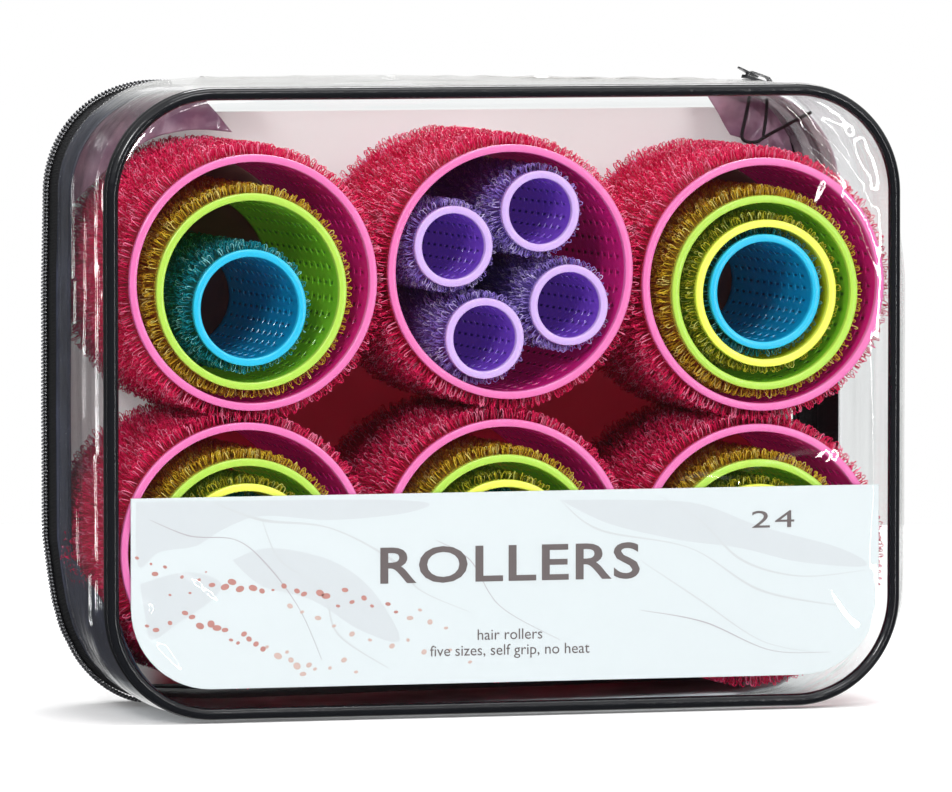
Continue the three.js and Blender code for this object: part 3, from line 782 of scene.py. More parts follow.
def chain(name, body, node_name, side, seed):
    """Half a zipper: woven tape and two rows of coil stitches."""
    s = np.arange(TAPE_S0, TAPE_S1, 1.1)
    x, z, nx, nz = at_length(s)
    n = len(s)
    wob = 0.12 * smooth_noise(s, seed, 0.07) + chain_line(s)
    def strip(sec):
        rows = []
        for o, y in sec:
            oo = o + wob
            zz = z + nz * oo
            rows.append(np.stack([x + nx * oo, np.full(n, y - CY), np.maximum(zz, 0.1)], -1))
        v = np.stack(rows, 1)
        f = grid_faces(n, len(sec), False, True)
        k = len(sec)
        caps = [[q, q + 1, k - 2 - q, k - 1 - q] for q in range(k // 2 - 1)]
        caps = np.array(caps)
        f = np.vstack([f, caps[:, ::-1], caps + (n - 1) * k])
        return v.reshape(-1, 3), f
    m = 55.3
    # the front tape runs on under the clear wall; the back one dips to the back loop
    ends = (37.5, 55.05) if side < 0 else (55.55, 64.3)
    far, near = (ends[0], ends[1]) if side < 0 else (ends[1], ends[0])
    if side < 0:
        ys = np.array([37.5, 39.5, 42.0, 44.5, 46.6, 47.6, 50.0, 53.0, 55.05])
        lift = [0.7, 0.7, 0.7, 0.7, 0.75, 1.2, 1.4, 1.55, 1.55]
    else:
        ys = np.linspace(far, near, 9)
        lift = [0.1, 0.3, 0.55, 0.8, 1.0, 1.2, 1.4, 1.55, 1.55]
    top = [(lift[q] , ys[q]) for q in range(9)]
    low = [(lift[q] - 0.45, ys[q]) for q in range(8, -1, -1)]
    sec = top + low
    v_, f_ = strip(sec)
    if side < 0:
        # along the base the tape reaches to the front piping
        far_s = np.interp(s, [0, 192, 205, 366, 396, BTOTAL], [37.5, 37.5, 3.1, 3.1, 37.5, 37.5])
        k_ = len(sec)
        v3 = v_.reshape(n, k_, 3)
        yb = v3[:, :, 1] + CY
        far2 = far_s[:, None]
        v3[:, :, 1] = np.where(yb < 47.6, far2 + (yb - 37.5) * (47.6 - far2) / (47.6 - 37.5), yb) - CY
        v_ = v3.reshape(-1, 3)
    seg = np.concatenate([np.repeat(np.arange(n - 1), len(sec)), np.zeros(len(f_) - (n - 1) * len(sec), int)])
    # the painted-sheen tapes go on the upper right, the top left end, and under the clear wall along the left side and
    # the base
    tone = np.where(s[seg] > 478, 2, np.where(s[seg] < 64, 3, 0))
    if side < 0:
        strip_q = np.concatenate([np.tile(np.arange(len(sec)), n - 1), np.zeros(len(f_) - (n - 1) * len(sec), int)])
        under = (strip_q < 5) | (strip_q >= 12)
        tone = np.where((s[seg] > 224) & (s[seg] < 400) & under, 4, tone)
        tone = np.where((s[seg] >= 64) & (s[seg] <= 224) & under, 5, tone)
    v_, f_ = np.asarray(v_), np.asarray(f_)
    parts = [(v_[:0], f_[:0], 0)]
    # coil stitches: short tilted loops
    loops_s = np.arange(ZIP_S0, ZIP_S1, 0.86)
    lx, lz, lnx, lnz = at_length(loops_s)
    nl = len(loops_s)
    wl = 0.12 * smooth_noise(loops_s, seed, 0.07) + chain_line(loops_s)
    tx, tz = -lnz, lnx                    # along the run
    rng = np.random.RandomState(seed)
    for row, (yc, oc, rx, ry, rz) in enumerate(((m + side * 1.6, 2.05, 0.36, 0.52, 0.42), (m + side * 0.62, 2.4, 0.34, 0.46, 0.44))):
        lat, lon = 4, 6
        a = np.linspace(0, math.pi, lat + 1)
        b = np.arange(lon) / lon * TAU
        A, Bv = np.meshgrid(a, b, indexing="ij")
        u = np.sin(A) * np.cos(Bv); w_ = np.sin(A) * np.sin(Bv); y_ = np.cos(A)
        tilt = 0.35 * side
        jit = rng.uniform(-0.05, 0.05, nl)
        U = u[None] * rx + y_[None] * ry * tilt
        Yp = y_[None] * ry + np.zeros((nl, 1, 1))
        N = w_[None] * rz
        ob = (oc + wl)[:, None, None] + N
        cx = lx[:, None, None] + lnx[:, None, None] * ob + tx[:, None, None] * (U + jit[:, None, None])
        cz = lz[:, None, None] + lnz[:, None, None] * ob + tz[:, None, None] * (U + jit[:, None, None])
        cy = yc - CY + Yp
        # lie low along the base, where the case stands
        low_ = np.clip((-lnz - 0.2) / 0.8, 0, 1)[:, None, None]
        cz = np.where(lnz[:, None, None] < 0, np.maximum(cz, 0.15 + 0.0 * cz), cz)
        P = np.stack([cx, cy + 0 * cx, cz], -1).reshape(nl, -1, 3)
        k = P.shape[1]
        i, j = np.meshgrid(np.arange(lat), np.arange(lon), indexing="ij")
        i, j = i.ravel(), j.ravel(); j2 = (j + 1) % lon
        q = np.stack([i * lon + j, i * lon + j2, (i + 1) * lon + j2, (i + 1) * lon + j], -1)
        F = (q[None] + (np.arange(nl) * k)[:, None, None]).reshape(-1, 4)
        # painted highlight: the outer cap faces of each loop take the pale glint material
        painted_glint_cap = np.tile(((i == 1) | (i == 2)) & (j == 1), nl)
        parts.append((P.reshape(-1, 3), F[~painted_glint_cap], 1))
        parts.append((P.reshape(-1, 3), F[painted_glint_cap], 6))
    parts = parts[1:]
    V, F, M = join_parts([(v_, f_, 0)] + parts)
    M[:len(tone)] = tone
    me = mesh_from(name, V, F, (M_TAPE, M_COIL, M_TAPE_FILM, M_TAPE_END, M_TAPE_BASE, M_TAPE_SIDE, M_COIL_GLINT), M)
    import bmesh
    bm = bmesh.new(); bm.from_mesh(me)
    bmesh.ops.remove_doubles(bm, verts=bm.verts, dist=1e-7)
    bmesh.ops.recalc_face_normals(bm, faces=bm.faces)
    bm.to_mesh(me); bm.free()
    return obj(name, me, body, [node_name])

chain("zip_half_front", "case", "zipper_front", -1, 31)
chain("zip_half_back", "back_lid", "zipper_back", 1, 31)

# ------------------------------------------------------------------ cards
def card_mat(name, col, rough=0.35, coat=0.15, marble=False):
    m, nt, out = new_mat(name)
    p = node(nt, "ShaderNodeBsdfPrincipled", Roughness=rough)
    p.inputs["Coat Weight"].default_value = coat
    p.inputs["Coat Roughness"].default_value = 0.15
    p.inputs["Base Color"].default_value = col
    if marble:
        # pale veins: a warped noise, cut to thin lines
        c = coords(nt)
        n1 = node(nt, "ShaderNodeTexNoise", Scale=9.0, Detail=5.0, Roughness=0.55, Distortion=1.2)
        nt.links.new(c, n1.inputs["Vector"])
        sub = node(nt, "ShaderNodeMath", _operation="SUBTRACT"); sub.inputs[1].default_value = 0.5
        ab = node(nt, "ShaderNodeMath", _operation="ABSOLUTE")
        nt.links.new(n1.outputs[0], sub.inputs[0]); nt.links.new(sub.outputs[0], ab.inputs[0])
        ramp = nt.nodes.new("ShaderNodeValToRGB")
        ramp.color_ramp.elements[0].position = 0.0
        ramp.color_ramp.elements[0].color = srgb(196, 200, 208)
        ramp.color_ramp.elements[1].position = 0.035
        ramp.color_ramp.elements[1].color = col
        e = ramp.color_ramp.elements.new(0.012); e.color = srgb(222, 226, 232)
        nt.links.new(ab.outputs[0], ramp.inputs[0])
        nt.links.new(ramp.outputs[0], p.inputs["Base Color"])
    nt.links.new(bump_noise(nt, 700.0, 0.06, 0.0002), p.inputs["Normal"])
    nt.links.new(p.outputs[0], out.inputs["Surface"])
    return m

M_CARD = card_mat("front_card_print", srgb(198, 204, 206), coat=0.0, rough=0.5, marble=False)
def back_card_mat(name, outside=False):
    """Thin white board that lets a little light through, with painted shade on its inner face only: a dark red field
    for the shade and red bounce light between the rollers, and three darker discs for the shade seen down the upper
    rollers' bores.
    """
    m, nt, out = new_mat(name)
    p = node(nt, "ShaderNodeBsdfPrincipled", Roughness=0.6)
    tr = nt.nodes.new("ShaderNodeBsdfTranslucent")
    c = coords(nt)
    sp = nt.nodes.new("ShaderNodeSeparateXYZ")
    nt.links.new(c, sp.inputs[0])
    def window(sock, lo, hi, soft):
        a = nt.nodes.new("ShaderNodeMapRange"); a.interpolation_type = "SMOOTHSTEP"
        a.inputs["From Min"].default_value = lo - soft; a.inputs["From Max"].default_value = lo + soft
        b = nt.nodes.new("ShaderNodeMapRange"); b.interpolation_type = "SMOOTHSTEP"
        b.inputs["From Min"].default_value = hi - soft; b.inputs["From Max"].default_value = hi + soft
        b.inputs["To Min"].default_value = 1.0; b.inputs["To Max"].default_value = 0.0
        nt.links.new(sock, a.inputs["Value"]); nt.links.new(sock, b.inputs["Value"])
        mm = node(nt, "ShaderNodeMath", _operation="MULTIPLY")
        nt.links.new(a.outputs["Result"], mm.inputs[0]); nt.links.new(b.outputs["Result"], mm.inputs[1])
        return mm.outputs[0]
    # painted shade: a dark red field over the middle and low part of the board stands in for the shade and red bounce
    # light between the rollers
    mul = node(nt, "ShaderNodeMath", _operation="MULTIPLY")
    nt.links.new(window(sp.outputs["X"], -0.066, 0.086, 0.005), mul.inputs[0])
    nt.links.new(window(sp.outputs["Z"], -0.02, 0.106, 0.005), mul.inputs[1])
    gap_shade_mix = nt.nodes.new("ShaderNodeMix"); gap_shade_mix.data_type = "RGBA"
    gap_shade_mix.inputs["A"].default_value = srgb(246, 244, 244)
    gap_shade_mix.inputs["B"].default_value = srgb(200, 84, 108)
    nt.links.new(mul.outputs[0], gap_shade_mix.inputs["Factor"])
    # painted shade: three dark discs in line with the upper rollers, for the shade seen down their bores
    last = None
    for cx0, cz0 in ((-0.0606, 0.1007), (0.0009, 0.1024), (0.0621, 0.0987)):
        dx = node(nt, "ShaderNodeMath", _operation="SUBTRACT"); dx.inputs[1].default_value = cx0
        dz = node(nt, "ShaderNodeMath", _operation="SUBTRACT"); dz.inputs[1].default_value = cz0
        nt.links.new(sp.outputs["X"], dx.inputs[0]); nt.links.new(sp.outputs["Z"], dz.inputs[0])
        cv = nt.nodes.new("ShaderNodeCombineXYZ")
        nt.links.new(dx.outputs[0], cv.inputs[0]); nt.links.new(dz.outputs[0], cv.inputs[1])
        ln = nt.nodes.new("ShaderNodeVectorMath"); ln.operation = "LENGTH"
        nt.links.new(cv.outputs[0], ln.inputs[0])
        if last is None:
            last = ln.outputs["Value"]
        else:
            mn = node(nt, "ShaderNodeMath", _operation="MINIMUM")
            nt.links.new(last, mn.inputs[0]); nt.links.new(ln.outputs["Value"], mn.inputs[1])
            last = mn.outputs[0]
    dr = nt.nodes.new("ShaderNodeMapRange"); dr.interpolation_type = "SMOOTHSTEP"
    dr.inputs["From Min"].default_value = 0.0275; dr.inputs["From Max"].default_value = 0.0295
    dr.inputs["To Min"].default_value = 1.0; dr.inputs["To Max"].default_value = 0.0
    nt.links.new(last, dr.inputs["Value"])
    bore_shade_mix = nt.nodes.new("ShaderNodeMix"); bore_shade_mix.data_type = "RGBA"
    bore_shade_mix.inputs["B"].default_value = srgb(124, 92, 84)
    nt.links.new(gap_shade_mix.outputs["Result"], bore_shade_mix.inputs["A"])
    nt.links.new(dr.outputs["Result"], bore_shade_mix.inputs["Factor"])
    if outside:
        p.inputs["Base Color"].default_value = srgb(240, 239, 239)
    else:
        nt.links.new(bore_shade_mix.outputs["Result"], p.inputs["Base Color"])
    # the painted shade also tints the light let through the board
    nt.links.new(bore_shade_mix.outputs["Result"], tr.inputs["Color"])
    nt.links.new(bump_noise(nt, 700.0, 0.06, 0.0002), p.inputs["Normal"])
    ms = node(nt, "ShaderNodeMixShader"); ms.inputs[0].default_value = 0.42
    nt.links.new(p.outputs[0], ms.inputs[1]); nt.links.new(tr.outputs[0], ms.inputs[2])
    nt.links.new(ms.outputs[0], out.inputs["Surface"])
    return m
M_CARDB = back_card_mat("back_card_board")
M_CARDB_OUT = back_card_mat("back_card_board_outside", outside=True)

def prism_xz(outline_pts, y0, y1):
    """Thin closed plate from an outline in X and Z, as an n-gon front and back."""
    n = len(outline_pts)
    v = [(x, y0 - CY, z) for x, z in outline_pts] + [(x, y1 - CY, z) for x, z in outline_pts]
    f = [tuple(range(n)), tuple(range(2 * n - 1, n - 1, -1))] + [(i, n + i, n + (i + 1) % n, (i + 1) % n) for i in range(n)]
    return v, f

def card(name, pts, y0, y1, mat, body, replaces):
    v, f = prism_xz(pts, y0, y1)
    me = bpy.data.meshes.new(name)
    me.from_pydata([(a * MM, b * MM, c * MM) for a, b, c in v], [], f)
    me.materials.append(mat)
    me.update()
    import bmesh
    bm = bmesh.new(); bm.from_mesh(me)
    bmesh.ops.recalc_face_normals(bm, faces=bm.faces)
    bmesh.ops.bevel(bm, geom=[e for e in bm.edges if e.calc_length() > 0 and abs(e.verts[0].co.y - e.verts[1].co.y) < 1e-7 and len(e.link_faces) == 2],
                    offset=0.08 * MM, segments=1, affect="EDGES")
    bm.to_mesh(me); bm.free()
    return obj(name, me, body, replaces)

w, top, low, r = 90.0, 51.7, 7.6, 19.0
pts = [(-w, top)]
pts += [(-w + r + r * math.cos(a), low + r + r * math.sin(a)) for a in np.linspace(math.pi, 1.5 * math.pi, 14)]
pts += [(w - r + r * math.cos(a), low + r + r * math.sin(a)) for a in np.linspace(1.5 * math.pi, TAU, 14)]
pts += [(w, top)]
card("card_front", pts, -1.08, -0.62, M_CARD, "case", ["front_card"])
hw, zl, zh, r = 89.4, 3.5, 137.9, 20.6
pts = []
for cx_, cz_, a0 in ((-(hw - r), zh - r, 90), (-(hw - r), zl + r, 180), (hw - r, zl + r, 270), (hw - r, zh - r, 0)):
    pts += [(cx_ + r * math.cos(math.radians(a0 + t)), cz_ + r * math.sin(math.radians(a0 + t))) for t in np.linspace(0, 90, 12)]
card_b = card("card_back", pts, 63.42, 63.88, M_CARDB, "back_lid", ["back_card"])
card_b.data.materials.append(M_CARDB_OUT)
for q in card_b.data.polygons:
    if q.normal.y > 0.5:
        q.material_index = 1

# print on the card: plain words, veins and dotted streaks, a hair above its face
INK_Y = -1.1
def ink(name, col, rough=0.4):
    m, nt, out = new_mat(name)
    p = node(nt, "ShaderNodeBsdfPrincipled", Roughness=rough)
    p.inputs["Base Color"].default_value = col
    nt.links.new(bump_noise(nt, 1500.0, 0.1, 0.0001), p.inputs["Normal"])
    nt.links.new(p.outputs[0], out.inputs["Surface"])
    return m
M_INK = ink("ink_warm_grey", srgb(96, 86, 86))
M_INK2 = ink("ink_light_grey", srgb(140, 136, 140))
M_CORAL = ink("ink_coral", srgb(176, 122, 114))
M_CORAL2 = ink("ink_pale_coral", srgb(190, 164, 156))
M_VEIN = ink("ink_vein", srgb(188, 191, 193))
M_VEIN2 = ink("ink_vein_dark", srgb(168, 164, 168))
M_PATCH = ink("ink_wash", srgb(190, 194, 197))

def words(name, text, x, z, height, mat, width=None, spacing=1.0, heavy=0.0):
    """Built-in font turned to a thin mesh on the card: x, z is the centre of the line, height that of a capital, in mm."""
    cu = bpy.data.curves.new(name + "_curve", "FONT")
    cu.body = text
    cu.align_x, cu.align_y = "CENTER", "CENTER"
    cu.size = height / 0.7 * MM
    cu.space_character = spacing
    cu.extrude = 0.012 * MM
    cu.resolution_u = 4
    cu.offset = heavy * MM
    tmp = bpy.data.objects.new(name + "_tmp", cu)
    bpy.context.scene.collection.objects.link(tmp)
    bpy.context.view_layer.update()
    me = bpy.data.meshes.new_from_object(tmp.evaluated_get(bpy.context.evaluated_depsgraph_get()))
    bpy.data.objects.remove(tmp)
    co = np.zeros(len(me.vertices) * 3); me.vertices.foreach_get("co", co); co = co.reshape(-1, 3)
    if width:
        k = width * MM / (co[:, 0].max() - co[:, 0].min())
        co[:, 0] *= k
    co[:, 0] -= (co[:, 0].max() + co[:, 0].min()) / 2
    co[:, 1] -= (co[:, 1].max() + co[:, 1].min()) / 2
    new = np.stack([co[:, 0] + x * MM, (INK_Y - 0.015 - CY) * MM + co[:, 2] * -1.0, co[:, 1] + z * MM], -1)
    me.vertices.foreach_set("co", new.astype(np.float32).ravel())
    me.materials.clear(); me.materials.append(mat)
    me.update()
    import bmesh
    bm = bmesh.new(); bm.from_mesh(me)
    bmesh.ops.remove_doubles(bm, verts=bm.verts, dist=1e-7)
    bmesh.ops.recalc_face_normals(bm, faces=bm.faces)
    bm.to_mesh(me); bm.free()
    return obj(name, me, "case", ())

a, b = px(373, 563), px(647, 563)
words("print_word", "ROLLERS", (a[0] + b[0]) / 2, px(510, 563)[1], 8.2, M_INK, width=62.5, spacing=1.06, heavy=0.16)
c = px(773, 519)
words("print_count", "24", c[0], c[1], 4.0, M_INK, width=10.4, spacing=1.15)
c = px(510, 634)
words("print_line_1", "hair rollers", c[0], c[1], 2.5, M_INK)
c = px(510, 651)
words("print_line_2", "five sizes, self grip, no heat", c[0], c[1], 2.5, M_INK)

def ribbon(name, pts_px, widths, mat, y=INK_Y):
    """Flat printed line along frame positions, width in mm at each point."""
    P = np.array([px(u, v) for u, v in pts_px])
    n = len(P)
    tt = np.linspace(0, n - 1, n * 12)
    # Catmull-Rom through the points
    Q = []
    for t in tt:
        i = min(int(t), n - 2); u = t - i
        p0, p1, p2, p3 = P[max(i - 1, 0)], P[i], P[i + 1], P[min(i + 2, n - 1)]
        Q.append(0.5 * ((2 * p1) + (-p0 + p2) * u + (2 * p0 - 5 * p1 + 4 * p2 - p3) * u * u + (-p0 + 3 * p1 - 3 * p2 + p3) * u ** 3))
    Q = np.array(Q)
    W = np.interp(tt, np.arange(n), widths) / 2
    T = np.gradient(Q, axis=0); T /= np.linalg.norm(T, axis=1, keepdims=True) + 1e-9
    N = np.stack([-T[:, 1], T[:, 0]], -1)
    L, Rr = Q + N * W[:, None], Q - N * W[:, None]
    th = 0.015
    secs = np.stack([np.stack([L[:, 0], np.full(len(Q), y - th - CY), L[:, 1]], -1),
                     np.stack([Rr[:, 0], np.full(len(Q), y - th - CY), Rr[:, 1]], -1),
                     np.stack([Rr[:, 0], np.full(len(Q), y + th - CY), Rr[:, 1]], -1),
                     np.stack([L[:, 0], np.full(len(Q), y + th - CY), L[:, 1]], -1)], 1)
    f = grid_faces(len(Q), 4, False, True)
    caps = np.array([[0, 1, 2, 3]])
    f = np.vstack([f, caps[:, ::-1], caps + (len(Q) - 1) * 4])
    return secs.reshape(-1, 3), f

def print_piece(name, items, mat):
    parts = [(v, f, 0) for v, f in items]
    V, F, M = join_parts(parts)
    me = mesh_from(name, V, F, (mat,), M, smooth=False)
    import bmesh
    bm = bmesh.new(); bm.from_mesh(me)
    bmesh.ops.recalc_face_normals(bm, faces=bm.faces)
    bm.to_mesh(me); bm.free()
    return obj(name, me, "case", ())

print_piece("print_veins", [
    ribbon("v", [(214, 503), (262, 520), (330, 528), (392, 560), (420, 590), (470, 612)], [0.2, 0.7, 0.3, 0.6, 0.3, 0.1], M_VEIN),
    ribbon("v", [(262, 520), (280, 560), (322, 590), (338, 634), (388, 668)], [0.1, 0.4, 0.2, 0.5, 0.2], M_VEIN),
    ribbon("v", [(560, 500), (600, 530), (690, 548), (760, 590), (842, 606)], [0.1, 0.5, 0.2, 0.6, 0.2], M_VEIN),
    ribbon("v", [(660, 496), (700, 520), (742, 560), (800, 576), (866, 570)], [0.1, 0.3, 0.6, 0.3, 0.1], M_VEIN),
    ribbon("v", [(640, 560), (700, 600), (760, 640), (812, 652)], [0.1, 0.4, 0.2, 0.1], M_VEIN),
], M_VEIN)
print_piece("print_veins_dark", [
    ribbon("v", [(150, 520), (190, 536), (236, 540), (268, 566), (300, 610), (322, 660)], [0.1, 0.3, 0.15, 0.35, 0.15, 0.1], M_VEIN2),
    ribbon("v", [(436, 540), (470, 560), (500, 606), (560, 640)], [0.08, 0.25, 0.15, 0.08], M_VEIN2),
    ribbon("v", [(640, 610), (704, 622), (770, 650), (830, 652)], [0.08, 0.3, 0.15, 0.08], M_VEIN2),
], M_VEIN2)

def dots(name, lines, mat, seed, r0=0.16, r1=0.5):
    """Dotted streaks: small printed discs scattered along lines."""
    rng = np.random.RandomState(seed)
    items = []
    for (u0, v0), (u1, v1), n, spread in lines:
        for k in range(n):
            t = (k + rng.uniform(-0.3, 0.3)) / n
            u = u0 + (u1 - u0) * t + rng.normal(0, spread)
            v = v0 + (v1 - v0) * t + rng.normal(0, spread * 0.6)
            x, z = px(u, v)
            rr = rng.uniform(r0, r1)
            a = np.arange(9) / 9 * TAU
            ring = [(x + rr * 1.4 * math.cos(q), z + rr * 0.8 * math.sin(q)) for q in a]
            vv = np.array([(p, INK_Y - 0.02 - CY, q) for p, q in ring] + [(p, INK_Y + 0.01 - CY, q) for p, q in ring]
                          + [(x, INK_Y - 0.02 - CY, z), (x, INK_Y + 0.01 - CY, z)])
            i = np.arange(9); j = (i + 1) % 9
            ff = np.vstack([np.stack([i, j, 9 + j, 9 + i], -1),
                            np.stack([np.full(9, 18), j, i, np.full(9, 18)], -1)[:, :4],
                            np.stack([np.full(9, 19), 9 + i, 9 + j, np.full(9, 19)], -1)[:, :4]])
            items.append((vv, ff))
    V, F, o = [], [], 0
    for vv, ff in items:
        V.append(vv)
        for q in ff.tolist():
            q = [x + o for x in q]
            if q[0] == q[3]:
                q = q[:3]
            F.append(q)
        o += len(vv)
    me = bpy.data.meshes.new(name)
    me.from_pydata((np.vstack(V) * MM).tolist(), [], F)
    me.materials.append(mat); me.update()
    import bmesh
    bm = bmesh.new(); bm.from_mesh(me)
    bmesh.ops.recalc_face_normals(bm, faces=bm.faces)
    bm.to_mesh(me); bm.free()
    return obj(name, me, "case", ())

DOTS = [(137, 558, 2), (151, 564, 1.5), (155, 574, 3), (165, 567, 2), (182, 577, 2), (199, 580, 2), (206, 572, 1), (212, 585, 3), (225, 587, 4),
        (232, 582, 4), (240, 589, 4), (253, 588, 4), (262, 591, 3), (273, 590, 1.5), (284, 586, 3), (297, 591, 3), (304, 594, 3), (320, 593, 4),
        (326, 596, 4), (147, 626, 2), (156, 630, 3), (170, 623, 2.5), (185, 613, 3), (192, 617, 3), (200, 626, 4), (211, 624, 4), (217, 628, 4),
        (225, 630, 3), (231, 640, 2), (238, 643, 2), (244, 634, 3), (249, 639, 3), (256, 644, 3), (263, 649, 3), (345, 590, 3), (352, 602, 2.5),
        (364, 598, 3), (372, 606, 2), (388, 604, 2.5), (396, 612, 2), (338, 606, 2), (170, 595, 1.5), (190, 593, 1.5)]
DOTS_PALE = [(267, 647, 2), (278, 656, 4), (287, 652, 2), (291, 660, 3), (297, 666, 4), (303, 674, 3), (309, 665, 3), (315, 669, 2), (410, 618, 3),
             (420, 610, 2), (430, 622, 3), (446, 628, 2), (330, 668, 2), (344, 660, 3), (356, 672, 2), (290, 606, 3), (302, 612, 2), (318, 618, 3),
             (334, 626, 2), (352, 634, 3), (370, 640, 2), (392, 646, 3), (408, 640, 2), (424, 652, 3), (450, 650, 2), (470, 662, 2)]

def discs(name, spots, mat, seed):
    """Printed round spots: frame position and radius in frame units."""
    rng = np.random.RandomState(seed)
    V, F, o = [], [], 0
    for u, v, rr in spots:
        x, z = px(u, v)
        r_ = rr / 4.29 * 0.95
        a = np.arange(14) / 14 * TAU
        wob = 1 + 0.12 * np.sin(2 * a + rng.uniform(0, 6))
        ring = np.stack([x + r_ * 1.1 * wob * np.cos(a), z + r_ * 0.85 * wob * np.sin(a)], -1)
        V += [(p_, INK_Y - 0.02 - CY, q_) for p_, q_ in ring] + [(p_, INK_Y + 0.01 - CY, q_) for p_, q_ in ring]
        F += [tuple(range(o, o + 14)), tuple(range(o + 27, o + 13, -1))] + [(o + i_, o + 14 + i_, o + 14 + (i_ + 1) % 14, o + (i_ + 1) % 14) for i_ in range(14)]
        o += 28
    me = bpy.data.meshes.new(name)
    me.from_pydata((np.array(V) * MM).tolist(), [], F)
    me.materials.append(mat); me.update()
    import bmesh
    bm = bmesh.new(); bm.from_mesh(me)
    bmesh.ops.recalc_face_normals(bm, faces=bm.faces)
    bm.to_mesh(me); bm.free()
    return obj(name, me, "case", ())

discs("print_dots", DOTS, M_CORAL, 3)
discs("print_dots_pale", DOTS_PALE, M_CORAL2, 4)

def wash(name, shapes, mat):
    """Broad pale areas of print with soft curved edges."""
    V, F, o = [], [], 0
    for shape in shapes:
        P = catmull(list(shape) + [shape[0]], 6)[:-1]
        Q = np.array([px(u, v) for u, v in P]); n = len(Q)
        V += [(a_, INK_Y + 0.005 - CY, b_) for a_, b_ in Q] + [(a_, INK_Y + 0.019 - CY, b_) for a_, b_ in Q]
        F += [tuple(range(o, o + n)), tuple(range(o + 2 * n - 1, o + n - 1, -1))] + [(o + i_, o + n + i_, o + n + (i_ + 1) % n, o + (i_ + 1) % n) for i_ in range(n)]
        o += 2 * n
    me = bpy.data.meshes.new(name)
    me.from_pydata((np.array(V) * MM).tolist(), [], F)
    me.materials.append(mat); me.update()
    import bmesh
    bm = bmesh.new(); bm.from_mesh(me)
    bmesh.ops.triangulate(bm, faces=[f for f in bm.faces if len(f.verts) > 4])
    bmesh.ops.recalc_face_normals(bm, faces=bm.faces)
    bm.to_mesh(me); bm.free()
    return obj(name, me, "case", ())

wash("print_wash", [
    [(136, 502), (200, 501), (300, 500), (392, 500), (430, 504), (400, 514), (330, 520), (262, 516), (222, 530), (196, 546), (160, 552), (138, 566)],
    [(140, 584), (186, 572), (220, 582), (212, 600), (180, 622), (152, 640), (146, 620)],
    [(560, 500), (640, 500), (700, 504), (760, 526), (840, 548), (866, 566), (800, 562), (740, 548), (680, 540), (610, 524)],
    [(232, 560), (270, 548), (330, 560), (372, 590), (400, 640), (360, 630), (312, 600), (262, 586)],
], M_PATCH)

# ------------------------------------------------------------------ clear strip over the hinge
def slab(name, P, N, th, mats, mi=None):
    """Closed thin sheet from a grid of points P (nu, nv, 3) and unit normals N, th thick inwards."""
    nu, nv = P.shape[:2]
    a, b = P.reshape(-1, 3), (P - N * th).reshape(-1, 3)
    fa = grid_faces(nu, nv)
    fb = grid_faces(nu, nv, offset=nu * nv)[:, ::-1]
    idx = np.arange(nu * nv).reshape(nu, nv)
    edge = np.concatenate([idx[:, 0], idx[-1, 1:], idx[-2::-1, -1], idx[0, -2:0:-1]])
    e2 = np.roll(edge, -1)
    side = np.stack([edge, e2, e2 + nu * nv, edge + nu * nv], -1)
    me = mesh_from(name, np.vstack([a, b]), np.vstack([fa, fb, side]), mats)
    import bmesh
    bm = bmesh.new(); bm.from_mesh(me)
    bmesh.ops.recalc_face_normals(bm, faces=bm.faces)
    bm.to_mesh(me); bm.free()
    return me

def grid_normals(P):
    du = np.gradient(P, axis=0); dv = np.gradient(P, axis=1)
    N = np.cross(du, dv)
    N /= np.linalg.norm(N, axis=2, keepdims=True) + 1e-12
    return N

xs = np.linspace(-59.2, 65.2, 150); ys_ = np.linspace(46.0, 66.3, 40)
Xg, Yg = np.meshgrid(xs, ys_, indexing="ij")
lift_x = np.interp(Xg, [-60, -20, 20, 45, 66], [1.0, 1.0, 0.7, 0.25, 0.0])
Zg = np.interp(Yg, [46.0, 50, 55, 60, 63.0, 64.6, 66.3], [145.1, 145.05, 144.9, 144.5, 144.1, 143.95, 143.6])
Zg = Zg + lift_x * np.interp(Yg, [46.0, 52, 58, 63, 66.3], [1.35, 1.2, 0.7, 0.1, 0.0])
fade = np.interp(Yg, [46, 48, 62, 65], [0.2, 1, 1, 0])
Zg = Zg + fade * (0.16 * np.sin(0.31 * Xg + 0.5 * Yg) + 0.12 * np.sin(0.53 * Xg - 0.35 * Yg + 1) + 0.1 * np.sin(1.1 * Yg + 0.08 * Xg))
Pg = np.stack([Xg, Yg - CY, Zg], -1)
Ng = grid_normals(Pg)
Ng *= np.sign(Ng[:, :, 2:3])
M_STRIP = vinyl("clear_hinge_strip", tint=(0.93, 0.925, 0.92), bump_scale=30.0, bump=0.5, boost=0.8)
hinge = obj("hinge_strip", slab("hinge_strip", Pg, Ng, 0.3, (M_STRIP,)), None, ())
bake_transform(hinge)

def tail(name, low, high, y0, seed, lean=0.0):
    """End of the zipper's tape, folded down inside a top corner. low and high: matched points (X, Z) of its two edges."""
    low, high = catmull(low, 8), catmull(high, 8)
    v = np.linspace(0, 1, 26)
    G = low[:, None, :] * (1 - v)[None, :, None] + high[:, None, :] * v[None, :, None]
    rng = np.random.RandomState(seed)
    a = G[:, :, 0]; b = G[:, :, 1]
    Y = y0 + lean * v[None, :] + 0.5 * np.sin(0.35 * a + 0.25 * b + rng.uniform(0, 6)) + 0.3 * np.sin(0.8 * a - 0.4 * b + rng.uniform(0, 6))
    P = np.stack([a, Y - CY, b], -1)
    N = grid_normals(P)
    return obj(name, slab(name, P, N, 0.2, (M_TAIL,)), "case", ())

